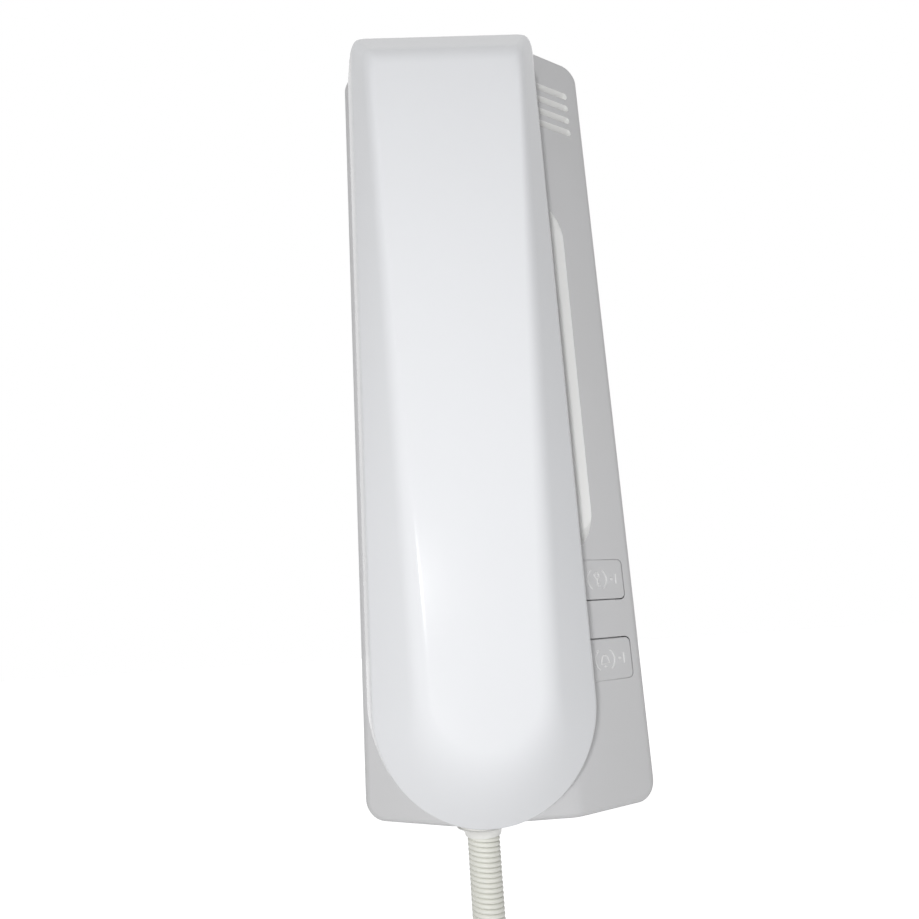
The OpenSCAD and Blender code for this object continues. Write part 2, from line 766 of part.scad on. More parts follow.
module hook_spring() color("silver") {
  free = lever_d - plate_t - hull_gap - spring_wire;
  per_turn = 12;
  n = spring_n * per_turn;
  skin([for (i = [0:n]) let (a = 360 * i / per_turn, d = plate_t + spring_wire / 2 + free * i / n)
    [for (k = [0:wire_sides - 1]) let (b = 360 * k / wire_sides, r = spring_r + spring_wire / 2 * cos(b))
      [hand_x + r * cos(a), -d - spring_wire / 2 * sin(b), spring_z + r * sin(a)]]]);
}

module hook_switch() color("black") {
  translate([hand_x, 0, switch_z]) slab(board_top, lever_d - plunger_h)
    square([switch_w, switch_t], center = true);
  peg([hand_x, switch_z], lever_d - plunger_h, lever_d - hull_gap, 1);
}

// A push key: cap through the panel, lip behind it, stem toward its switch
module key(z) translate([0, 0, z]) {
  x0 = key_x - key_w / 2;
  x1 = key_x + key_w / 2;
  under = -base_wall / cos(panel_angle) - key_play;
  intersection() {
    panel_bar(under - key_lip_t / 2, key_proud, x0 - cut, x1 + cut, key_h + cut);
    translate([key_x, 0, 0]) slab(0, seat_d + cut) key_shape(0);
  }
  panel_bar(under - key_lip_t, under, x0 - key_lip, x1 - 2 * key_r, key_h + 2 * key_lip);
  peg([key_x, 0], board_top + switch_h + key_travel + hull_gap, panel_d(key_x) - base_wall / 2, stem_r);
}

module door_key() color("white") key(key_zs[1]);

module call_key() color("white") key(key_zs[0]);

module key_switches() color("dimgray") for (z = key_zs) {
  top = board_top + switch_h;
  translate([key_x, 0, z]) slab(board_top, top - key_button_h) square(key_switch_w, center = true);
  peg([key_x, z], top - key_button_h, top, key_button_r);
}

// A screw with a domed head and a cross slot: seat of the head, end of the shank, way of the tip
module screw(at, seat, tip, way) translate([at[0], -seat, at[1]]) rotate([way * 90, 0, 0]) difference() {
  rotate_extrude() polygon([[0, -tip], [screw_r * 0.6, -tip], [screw_r, -tip + screw_tip],
    [screw_r, 0], [head_r, 0], [head_r, head_t * 0.6], [head_r * 0.7, head_t], [0, head_t]]);
  for (a = [0, 90]) rotate([0, 0, a]) translate([0, 0, head_t])
    cube([head_r * 1.2, cross_w, cross_t], center = true);
}

module cover_screws() color("silver") for (p = cover_screw_at)
  screw(p, cover_seat_d, cover_seat_d - plate_t - screw_tip, 1);

module board_screws() color("silver") for (p = board_posts)
  screw(p, board_top, board_top - plate_t - screw_free, 1);

// A cord gland round the z axis: sleeve closed at the cord's root, lip at lip_z, collar below z = 0
module gland(root, lip_z, top) rotate_extrude() polygon([[0, root], [gland_in_r, root],
  [gland_in_r, -collar_h - collar_nose], [gland_in_r + collar_lip, -collar_h - collar_nose],
  [collar_r, -collar_gap - collar_h], [collar_r, -collar_gap], [gland_r, -collar_gap], [gland_r, lip_z],
  [gland_r + gland_lip, lip_z], [gland_r + gland_lip, lip_z + gland_cap], [gland_r, lip_z + gland_cap],
  [gland_r, top], [0, top]]);

module base_gland() color("whitesmoke") translate([base_exit_x, -base_exit_d, -half_h])
  gland(base_root, base_wall + gland_fit, base_root + gland_cap);

// Hole for the cord gland at the parting line of the handset
module hand_gland_bore() translate([hand_exit_x, -hand_exit_d, hand_low - bore_out])
  cylinder(h = hand_lip + bore_out, r = gland_r + gland_fit);

module handset_front() color("white") {
  steps = [0, 0.05, 0.1, 0.14, 0.19, 0.26, 0.4, 0.54, 0.64, 0.72, 0.8, 0.9, 1];
  difference() {
    translate([hand_x, 0, 0]) union() {
      skin(concat(reverse(front_rings(0, steps)), front_rings(hand_wall, [0, 0.12, 0.2, 0.4, 0.7, 1])));
      for (z = hand_screw_zs) difference() {
        peg([0, z], joint_d, face_d - hand_wall / 2, post_r);
        peg([0, z], joint_d - cut, bore_end_d, screw_r + screw_fit);
      }
    }
    hand_gland_bore();
  }
}

module handset_back() color("white") {
  floor_d = back_d0 + hand_wall / 2;
  ear_ring_r = ear_r + fit + ring_t;
  mic_ring_r = mic_r + boot_t + fit + ring_t;
  difference() {
    translate([hand_x, 0, 0]) union() {
      skin(concat(reverse(back_rings(hand_wall, [0, 50, 90])), back_rings(0, [0, 25, 45, 65, 80, 90])));
      peg([0, ear_z], floor_d, ear_seat_d, ear_ring_r);
      difference() {
        peg([0, ear_z], floor_d, ear_ring_d, ear_ring_r);
        peg([0, ear_z], back_d0, ear_ring_d + cut, ear_ring_r - ring_t);
      }
      difference() {
        peg([0, mic_z], floor_d, part_d - mic_ring_low, mic_ring_r);
        peg([0, mic_z], back_d0, part_d, mic_ring_r - ring_t);
      }
      for (z = hand_screw_zs) peg([0, z], floor_d, joint_d, head_r + hand_boss_wall);
    }
    translate([hand_x, -back_d0 - ear_dish_t, ear_z]) rotate([-90, 0, 0])
      cylinder(h = ear_dish_t + ear_dish_skim, r1 = ear_dish_r - ear_dish_in, r2 = ear_dish_r);
    for (i = [0:6]) translate([hand_x, 0, ear_z]) rotate([0, i * 60, 0])
      peg([i == 6 ? 0 : ear_hole_ring, 0], back_d0 - cut, ear_seat_d + cut, ear_hole_r);
    peg([hand_x, mic_z], back_d0 - cut, mic_seat_d + cut, mic_hole_r);
    for (z = hand_screw_zs) {
      peg([hand_x, z], back_d0 - cut, sink_d, head_r + fit);
      peg([hand_x, z], back_d0 - cut, part_d, screw_r + screw_free);
    }
    for (z = [lug_z_top, lug_z_low]) lug(z, lug_play);
    hand_gland_bore();
  }
}

module ear_capsule() color("dimgray") translate([hand_x, -ear_seat_d - gasket_t, ear_z])
  rotate([90, 0, 0]) rotate_extrude() polygon([[0, ear_hollow], [ear_r - ear_rim - ear_slope, ear_hollow],
    [ear_r - ear_rim, 0], [ear_r, 0], [ear_r, ear_rim_t], [ear_r - ear_rim - ear_slope, ear_hub_t],
    [ear_r - ear_hub_in, ear_t], [0, ear_t]]);

module ear_gasket() color("black") translate([hand_x, -ear_seat_d, ear_z]) rotate([90, 0, 0])
  difference() {
    cylinder(h = gasket_t, r = ear_r);
    translate([0, 0, -cut]) cylinder(h = gasket_t + 2 * cut, r = ear_r - ear_rim);
  }

module mic_capsule() color("silver")
  peg([hand_x, mic_z], mic_seat_d + boot_t, mic_seat_d + boot_t + mic_t, mic_r);

module mic_boot() color("black") difference() {
  peg([hand_x, mic_z], mic_seat_d, mic_seat_d + boot_t + mic_t - boot_low, mic_r + boot_t);
  peg([hand_x, mic_z], mic_seat_d + boot_t, part_d + mic_t, mic_r);
  peg([hand_x, mic_z], back_d0, part_d, mic_hole_r);
}

module handset_screws() color("silver") for (z = hand_screw_zs)
  screw([hand_x, z], sink_d, hand_screw_len, -1);

module handset_gland() color("white") translate([hand_exit_x, -hand_exit_d, hand_low])
  gland(hand_root, hand_lip, hand_lip + gland_cap + fit);

module curly_cord() color("ivory") skin([for (i = [0:cord_n]) wire_ring(i)]);

wall_plate();
base_cover();
circuit_board();
capacitors();
audio_chip();
diodes();
terminal_block();
terminal_screws();
sounder();
hook_lever();
hook_pin();
hook_spring();
hook_switch();
door_key();
call_key();
key_switches();
cover_screws();
board_screws();
base_gland();
handset_front();
handset_back();
ear_capsule();
ear_gasket();
mic_capsule();
mic_boot();
handset_screws();
handset_gland();
curly_cord();
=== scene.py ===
"""Wall intercom station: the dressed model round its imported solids.

A wedge-sided wall base with sounder slots, a finger trough and two push keys carries a lift-off
handset with a lofted front shell, and a curly cord joins the two. Sizes in the classes are
millimetres, meshes are metres: x to the right, y into the wall, z up. A depth is a distance out
from the wall, along -y.
"""

import logging
import math
from dataclasses import dataclass
from enum import Enum
from typing import Callable, Sequence

import bmesh
import bpy
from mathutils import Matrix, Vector


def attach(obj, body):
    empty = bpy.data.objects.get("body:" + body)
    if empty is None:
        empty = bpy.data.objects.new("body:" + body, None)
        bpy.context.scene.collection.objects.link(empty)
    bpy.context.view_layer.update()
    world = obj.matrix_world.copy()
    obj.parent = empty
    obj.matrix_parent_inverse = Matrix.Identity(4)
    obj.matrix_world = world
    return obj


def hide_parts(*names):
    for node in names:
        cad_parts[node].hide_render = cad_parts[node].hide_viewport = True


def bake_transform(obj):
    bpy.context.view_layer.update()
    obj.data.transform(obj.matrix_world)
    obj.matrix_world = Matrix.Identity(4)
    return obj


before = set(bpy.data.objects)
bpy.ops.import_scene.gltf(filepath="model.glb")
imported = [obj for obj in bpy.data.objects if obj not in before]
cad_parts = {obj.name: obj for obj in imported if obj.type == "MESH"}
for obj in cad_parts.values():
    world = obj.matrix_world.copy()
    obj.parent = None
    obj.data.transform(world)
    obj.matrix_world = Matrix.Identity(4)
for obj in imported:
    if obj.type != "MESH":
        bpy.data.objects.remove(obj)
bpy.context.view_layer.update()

MM = 0.001  # metres
TINY = 1e-3  # radius that stands for a point on an axis
FLUSH = 0.02  # how far from a face still counts as in it
THROUGH = 1.0  # how far a cutting or joining solid goes beyond a face
LOG = logging.getLogger("intercom")
Flat = tuple[float, float]
Point = tuple[float, float, float]
Colour = tuple[float, float, float]
Ring = list[Point]
Stroke = tuple[list[Flat], bool]
Piece = bpy.types.Object
Edge = bmesh.types.BMEdge
Socket = bpy.types.NodeSocket


class Pattern(Enum):
    """How the colour of a finish is broken up."""

    MOULDED = "moulded"
    BRUSHED = "brushed"
    LAMINATE = "laminate"


class Role(Enum):
    """The two ways in which one solid works on another."""

    CUT = "DIFFERENCE"
    JOIN = "UNION"


class Wiring:
    """A node tree whose nodes are wired as they are added."""

    def __init__(self, tree: bpy.types.NodeTree) -> None:
        """Takes the tree to work on."""
        self.tree = tree

    def fill(self, node: bpy.types.Node, *values: object, **named: object) -> bpy.types.Node:
        """Links sockets to a node's inputs, or sets their values.

        Args:
            node: the node.
            values: a socket, a list of sockets or a value for each of its first inputs.
            named: the same for inputs by name; underscores stand for spaces.

        Returns:
            The node.
        """
        wanted = list(zip(node.inputs, values))
        wanted += [(node.inputs[key.replace("_", " ")], value) for key, value in named.items()]
        for socket, value in wanted:
            if isinstance(value, (Socket, list)):
                for source in value if isinstance(value, list) else [value]:
                    self.tree.links.new(source, socket)
            else:
                socket.default_value = value
        return node

    def add(self, kind: str, *values: object, out: str | int = 0, options: dict[str, str] | None = None,
            **named: object) -> Socket:
        """Adds a node.

        Args:
            kind: type of the node.
            values: for its first inputs, as fill takes them.
            out: name or number of the output that is used.
            options: settings of the node.
            named: for inputs by name, as fill takes them.

        Returns:
            Socket of the output.
        """
        node = self.tree.nodes.new(kind)
        for key, value in (options or {}).items():
            setattr(node, key, value)
        return self.fill(node, *values, **named).outputs[out]

    def maths(self, operation: str, a: object, b: object) -> Socket:
        """Adds a sum on two numbers or sockets."""
        return self.add("ShaderNodeMath", a, b, options={"operation": operation})


@dataclass(frozen=True)
class Finish:
    """A surface finish: mottled colour, uneven gloss and a fine relief.

    Attributes:
        name: name of the material.
        slot: material slot of the record, which is not used.
        colour: main colour.
        shade: colour of the faint clouds in it.
        rough: mean roughness.
        swing: how far the roughness strays from its mean.
        clouds: size of the clouds.
        pores: size of the relief.
        relief: height of the relief.
        metal: 1 for a metal.
        coat: weight of the clear gloss over it.
        coat_rough: roughness of the clear gloss.
        gloss: how strongly the surface mirrors.
        pattern: how the colour is broken up.
    """

    name: str
    slot: str
    colour: Colour
    shade: Colour
    rough: float = 0.35
    swing: float = 0.05
    clouds: float = 30.0
    pores: float = 0.5
    relief: float = 0.006
    metal: float = 0.0
    coat: float = 0.0
    coat_rough: float = 0.1
    gloss: float = 0.5
    pattern: Pattern = Pattern.MOULDED

    def material(self) -> bpy.types.Material:
        """Returns the finish as a material, made once."""
        found = bpy.data.materials.get(self.name)
        return found if found else self._make()

    def _make(self) -> bpy.types.Material:
        """Builds the nodes of the material.

        Returns:
            The new material.
        """
        made = bpy.data.materials.new(self.name)
        made.use_nodes = True
        nodes = Wiring(made.node_tree)
        place = drawn = nodes.add("ShaderNodeTexCoord", out="Object")
        if self.pattern is Pattern.BRUSHED:
            drawn = nodes.add("ShaderNodeMapping", Vector=place, Scale=(0.05, 1, 1))
        clouds = self._noise(nodes, drawn, self.clouds, 3.0)
        colour = nodes.add("ShaderNodeMix", out="Result", options={"data_type": "RGBA"},
                           Factor=self._spread(nodes, clouds, 0.0, 1.0), A=(*self.colour, 1),
                           B=(*self.shade, 1))
        if self.pattern is Pattern.LAMINATE:
            colour = self._tracks(nodes, place, colour)
        gloss = self._noise(nodes, place, self.clouds / 3, 4.0)
        bump = nodes.add("ShaderNodeBump", Strength=0.35, Distance=self.relief * MM,
                         Height=self._noise(nodes, place, self.pores, 2.0))
        nodes.fill(made.node_tree.nodes["Principled BSDF"], Base_Color=colour, Metallic=self.metal,
                   Roughness=self._spread(nodes, gloss, self.rough - self.swing, self.rough + self.swing),
                   Specular_IOR_Level=self.gloss, Coat_Weight=self.coat, Coat_Roughness=self.coat_rough,
                   Normal=bump)
        return made

    @staticmethod
    def _noise(nodes: Wiring, place: Socket, size: float, detail: float) -> Socket:
        """Adds a noise of a size in millimetres, with some finer layers."""
        return nodes.add("ShaderNodeTexNoise", Vector=place, Scale=1 / (size * MM), Detail=detail)

    @staticmethod
    def _spread(nodes: Wiring, value: Socket, low: float, high: float) -> Socket:
        """Spreads the middle of a noise over a range."""
        return nodes.add("ShaderNodeMapRange", Value=value, From_Min=0.3, From_Max=0.7, To_Min=low,
                         To_Max=high)

    @staticmethod
    def _tracks(nodes: Wiring, place: Socket, under: Socket) -> Socket:
        """Adds the copper tracks of a circuit board over a colour."""
        turned = nodes.add("ShaderNodeMapping", Vector=place, Rotation=(math.radians(90), 0, 0))
        return nodes.add("ShaderNodeTexBrick", Vector=turned, Color1=under, Color2=under,
                         Mortar=(0.08, 0.34, 0.17, 1), Mortar_Size=0.03, Scale=90)


HANDSET_WHITE = Finish("handset_white_gloss", "handset_plastic", (0.83, 0.84, 0.862), (0.827, 0.836, 0.857),
                       rough=0.2, swing=0.01, clouds=60, gloss=0.13)
# The base's plastic, darker grey than the handset's white: partly the base's own greyer tone, partly painted
# shade.
BASE_WHITE = Finish("base_white_satin", "base_plastic", (0.66, 0.66, 0.67), (0.645, 0.645, 0.65),
                    rough=0.45, swing=0.03, clouds=35, pores=0.35, relief=0.012, gloss=0.25)
# Painted light: a lighter copy of the base's white, put on the trough's and the slots' faces.
BASE_PAINTED_LIGHT = Finish("base_white_painted_light", "base_plastic", (0.95, 0.95, 0.94), (0.94, 0.94, 0.925),
                     rough=0.38, swing=0.03, clouds=25, pores=0.35, relief=0.008)
SIGN_PALE = Finish("sign_pale", "base_plastic", (0.80, 0.80, 0.80), (0.78, 0.78, 0.78), rough=0.45,
                   swing=0.03, clouds=10, pores=0.35, relief=0.008)
CORD_IVORY = Finish("cord_ivory", "cord_plastic", (0.81, 0.81, 0.755), (0.775, 0.775, 0.715),
                    rough=0.46, clouds=9, pores=0.4, relief=0.02)
COLLAR_WHITE = Finish("collar_ivory_white", "cord_plastic", (0.80, 0.80, 0.78), (0.77, 0.765, 0.74),
                      rough=0.36, swing=0.02, clouds=8, pores=0.4, relief=0.012)
SOUNDER_IVORY = Finish("sounder_ivory", "base_plastic", (0.86, 0.85, 0.78), (0.83, 0.82, 0.75),
                       rough=0.5, clouds=5, pores=0.3, relief=0.02)
BOARD_GREEN = Finish("board_green", "board", (0.03, 0.20, 0.09), (0.04, 0.25, 0.12), rough=0.4, clouds=6,
                     pattern=Pattern.LAMINATE)
BLACK = Finish("black_moulded", "black_plastic", (0.03, 0.03, 0.032), (0.05, 0.05, 0.052), rough=0.5,
               clouds=6, pores=0.3, relief=0.02)
TERMINAL_GREEN = Finish("terminal_green", "terminal_plastic", (0.03, 0.24, 0.10), (0.04, 0.29, 0.13),
                        rough=0.45, clouds=5)
SLEEVE_BLUE = Finish("sleeve_dark_blue", "capacitor", (0.02, 0.03, 0.11), (0.03, 0.045, 0.15), rough=0.3,
                     clouds=5, coat=0.3)
DRAWN_CAN = Finish("drawn_can", "capsule_metal", (0.74, 0.74, 0.75), (0.66, 0.66, 0.67), rough=0.3,
                   clouds=2, metal=1.0, pattern=Pattern.BRUSHED)
GASKET_BLACK = Finish("gasket_black", "gasket", (0.025, 0.025, 0.025), (0.045, 0.045, 0.045), rough=0.8,
                      clouds=4, pores=0.25, relief=0.03)
ZINC = Finish("zinc_plated", "steel", (0.60, 0.60, 0.62), (0.52, 0.52, 0.53), rough=0.32, clouds=1.5,
              metal=1.0, pattern=Pattern.BRUSHED)


def link(name: str, data: bpy.types.ID) -> Piece:
    """Puts a mesh, curve, lamp or camera in the scene.

    Args:
        name: name of the piece.
        data: what it holds.

    Returns:
        The new object.
    """
    made = bpy.data.objects.new(name, data)
    bpy.context.scene.collection.objects.link(made)
    return made


def skin(name: str, rings: Sequence[Ring], strips: bool = False) -> Piece:
    """Makes a closed solid over rings of equal count.

    Args:
        name: name of the piece.
        rings: closed rings in millimetres.
        strips: whether strips from side to side close the last ring, in place of one flat face.

    Returns:
        The new object.
    """
    made = bmesh.new()
    loops = [[made.verts.new(Vector(p) * MM) for p in ring] for ring in rings]
    n, top = len(loops[0]), loops[-1]
    faces = [(a[i], a[(i + 1) % n], b[(i + 1) % n], b[i]) for a, b in zip(loops, loops[1:]) for i in range(n)]
    if strips:
        faces += [(top[i], top[i + 1], top[n - 2 - i], top[n - 1 - i]) for i in range(n // 2 - 1)]
    for corners in faces + [loops[0][::-1]] + ([] if strips else [top]):
        made.faces.new(corners)
    bmesh.ops.recalc_face_normals(made, faces=made.faces)
    mesh = bpy.data.meshes.new(name)
    made.to_mesh(mesh)
    made.free()
    return link(name, mesh)


def plain(piece: Piece) -> bpy.types.Mesh:
    """Makes a plain mesh of what a piece is under its modifiers.

    Args:
        piece: the piece.

    Returns:
        The mesh, named as the piece is.
    """
    bpy.context.view_layer.update()
    graph = bpy.context.evaluated_depsgraph_get()
    mesh = bpy.data.meshes.new_from_object(piece.evaluated_get(graph))
    mesh.name = piece.name
    return mesh


def settle(piece: Piece) -> None:
    """Turns a piece with modifiers into a plain mesh.

    Args:
        piece: the piece.
    """
    done = plain(piece)
    piece.modifiers.clear()
    piece.data = done


def work(piece: Piece, tools: Sequence[Piece], role: Role) -> None:
    """Cuts solids out of a piece, or joins them to it, and removes them.

    Args:
        piece: the piece.
        tools: the solids.
        role: cut or join.
    """
    for tool in tools:
        step = piece.modifiers.new(tool.name, "BOOLEAN")
        step.operation = role.value
        step.solver = "EXACT"
        step.object = tool
        settle(piece)
        bpy.data.objects.remove(tool)


def soften(piece: Piece, width: float, chosen: Callable[[Edge], bool],
           segments: int = 3) -> None:
    """Rounds chosen edges of a piece.

    Args:
        piece: the piece.
        width: width of the rounding in millimetres.
        chosen: says of an edge whether it is rounded.
        segments: faces across the rounding.
    """
    made = bmesh.new()
    made.from_mesh(piece.data)
    bmesh.ops.remove_doubles(made, verts=made.verts, dist=0.002 * MM)
    bmesh.ops.dissolve_limit(made, angle_limit=math.radians(0.2), verts=made.verts, edges=made.edges)
    edges = [e for e in made.edges if len(e.link_faces) == 2 and chosen(e)]
    bmesh.ops.bevel(made, geom=edges, offset=width * MM, offset_type="OFFSET", segments=segments,
                    profile=0.5, affect="EDGES", clamp_overlap=True)
    made.to_mesh(piece.data)
    made.free()


def shade(piece: Piece, sharp: float = 40.0, weighted: bool = False) -> None:
    """Shades a piece smoothly, apart from its sharp edges.

    Args:
        piece: the piece.
        sharp: least angle of a sharp edge, in degrees.
        weighted: whether large faces rule the shading, so that flats stay flat.
    """
    piece.data.shade_smooth()
    piece.data.set_sharp_from_angle(angle=math.radians(sharp))
    if weighted:
        step = piece.modifiers.new("flats", "WEIGHTED_NORMAL")
        step.mode = "FACE_AREA"
        step.weight = 100
        step.keep_sharp = True
        settle(piece)


def dress(piece: Piece, finish: Finish) -> None:
    """Gives a piece its finish.

    Args:
        piece: the piece.
        finish: the finish.
    """
    piece.data.materials.clear()
    piece.data.materials.append(finish.material())


def seat(piece: Piece, body: str, finish: Finish, *nodes: str) -> Piece:
    """Dresses a piece, lets it ride on a body and stand for nodes.

    Args:
        piece: the piece.
        body: the body.
        finish: its finish.
        nodes: solids that it stands for.

    Returns:
        The piece.
    """
    dress(piece, finish)
    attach(piece, body)
    if nodes:
        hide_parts(*nodes)
    LOG.info("%s on %s: %d faces", piece.name, body, len(piece.data.polygons))
    return piece


def arc(u: float, v: float, r: float, a0: float, a1: float, steps: int = 14) -> list[Flat]:
    """Points of an arc round a middle, between two angles in degrees."""
    turns = [math.radians(a0 + (a1 - a0) * i / steps) for i in range(steps + 1)]
    return [(u + r * math.cos(a), v + r * math.sin(a)) for a in turns]


def circle(r: float, steps: int = 48) -> list[Flat]:
    """Points of a circle of radius r."""
    return arc(0, 0, r, 0, 360, steps)[:-1]


def round_box(w: float, h: float, r: float, steps: int = 8) -> list[Flat]:
    """Outline of a rectangle with corners of radius r, from its right-hand side anticlockwise."""
    corners = enumerate(((1, 1), (-1, 1), (-1, -1), (1, -1)))
    return [p for k, (sx, sz) in corners
            for p in arc(sx * (w / 2 - r), sz * (h / 2 - r), r, 90 * k, 90 * k + 90, steps)]


def rounding(r: float, steps: int = 6) -> list[Flat]:
    """Inset and drop of each ring that rounds an edge with a radius r."""
    turns = [math.radians(90 * i / steps) for i in range(steps + 1)]
    return [(r * (1 - math.cos(a)), r * (1 - math.sin(a))) for a in turns]


def peg(name: str, outline: Sequence[Flat], at: Flat, d0: float, d1: float) -> Piece:
    """A bar along the depth, from d0 to d1, with an outline in x and z round its middle."""
    return skin(name, [[(at[0] + x, -d, at[1] + z) for x, z in outline] for d in (d0, d1)])


def across(name: str, outline: Sequence[Flat], x: float, w: float) -> Piece:
    """A bar of the width w along x, with its middle at x and an outline in depth and z."""
    return skin(name, [[(x + s * w / 2, -d, z) for d, z in outline] for s in (-1, 1)])


def lathe(name: str, profile: Sequence[Flat], at: Point, steps: int = 72) -> Piece:
    """A round piece on an upright axis over a foot, from radii and heights that start and end on the axis."""
    ring = circle(1, steps)
    return skin(name, [[(at[0] + max(r, TINY) * c, at[1] + max(r, TINY) * s, at[2] + h) for c, s in ring]
                       for r, h in profile])


def soft_min(a: float, b: float, k: float) -> float:
    """The lesser of a and b, rounded over a height k."""
    return min(a, b) - max(k - abs(a - b), 0) ** 2 / (4 * k)


class NodeTool(Wiring):
    """A geometry node tree with named sizes, used as a tool."""

    def __init__(self, name: str, sizes: dict[str, float]) -> None:
        """Makes the tree with its sockets.

        Args:
            name: name of the tree.
            sizes: counts, and sizes in millimetres.
        """
        super().__init__(bpy.data.node_groups.new(name, "GeometryNodeTree"))
        self.sizes = {key: value if isinstance(value, int) else value * MM for key, value in sizes.items()}
        self.sockets: dict[str, str] = {}
        kinds = {key: "Int" if isinstance(value, int) else "Float" for key, value in sizes.items()}
        for key, kind in {"Geometry": "Geometry", **kinds, "Finish": "Material"}.items():
            made = self.tree.interface.new_socket(key, in_out="INPUT", socket_type="NodeSocket" + kind)
            self.sockets[key] = made.identifier
        self.tree.interface.new_socket("Geometry", in_out="OUTPUT", socket_type="NodeSocketGeometry")
        self.inputs = self.tree.nodes.new("NodeGroupInput").outputs

    def run(self, geometry: Socket, finish: Finish, piece: Piece | None = None) -> Piece:
        """Ends the tree with plain meshes of one finish, runs it and keeps the plain mesh.

        Args:
            geometry: what the tree has made.
            finish: finish of the result.
            piece: object that the tree starts from, which is used up, or none for an empty one.

        Returns:
            A mesh object of the same name, or named as the tree is.
        """
        whole = self.add("GeometryNodeRealizeInstances", Geometry=geometry)
        painted = self.add("GeometryNodeSetMaterial", Geometry=whole, Material=self.inputs["Finish"])
        self.fill(self.tree.nodes.new("NodeGroupOutput"), painted)
        name = self.tree.name
        piece = piece or link(name, bpy.data.meshes.new(name))
        step = piece.modifiers.new(name, "NODES")
        step.node_group = self.tree
        for key, value in {**self.sizes, "Finish": finish.material()}.items():
            step[self.sockets[key]] = value
        name, mesh = piece.name, plain(piece)
        bpy.data.objects.remove(piece)
        return link(name, mesh)


def strands(name: str, lines: Sequence[Sequence[Point]], closed: Sequence[bool] = ()) -> Piece:
    """A curve object of straight-sided lines.

    Args:
        name: name of the piece.
        lines: points of each line, in millimetres.
        closed: whether each line is closed.

    Returns:
        The curve object.
    """
    curve = bpy.data.curves.new(name, "CURVE")
    curve.dimensions = "3D"
    for k, line in enumerate(lines):
        spline = curve.splines.new("POLY")
        spline.points.add(len(line) - 1)
        for point, place in zip(spline.points, line):
            point.co = (*(Vector(place) * MM), 1)
        spline.use_cyclic_u = bool(closed) and closed[k]
    return link(name, curve)


def swept(line: Piece, radius: float, sides: int, finish: Finish) -> Piece:
    """Sweeps a round wire along a curve.

    Args:
        line: the curve object, which is used up.
        radius: radius of the wire in millimetres.
        sides: sides of the wire.
        finish: its finish.

    Returns:
        The wire as a mesh object.
    """
    tool = NodeTool("wire_along_" + line.name, {"Wire radius": radius, "Sides": sides})
    get = tool.inputs
    ring = tool.add("GeometryNodeCurvePrimitiveCircle", Resolution=get["Sides"], Radius=get["Wire radius"])
    tube = tool.add("GeometryNodeCurveToMesh", Curve=get["Geometry"], Profile_Curve=ring, Fill_Caps=True)
    return tool.run(tool.add("GeometryNodeSetShadeSmooth", Geometry=tube, Shade_Smooth=True), finish, line)


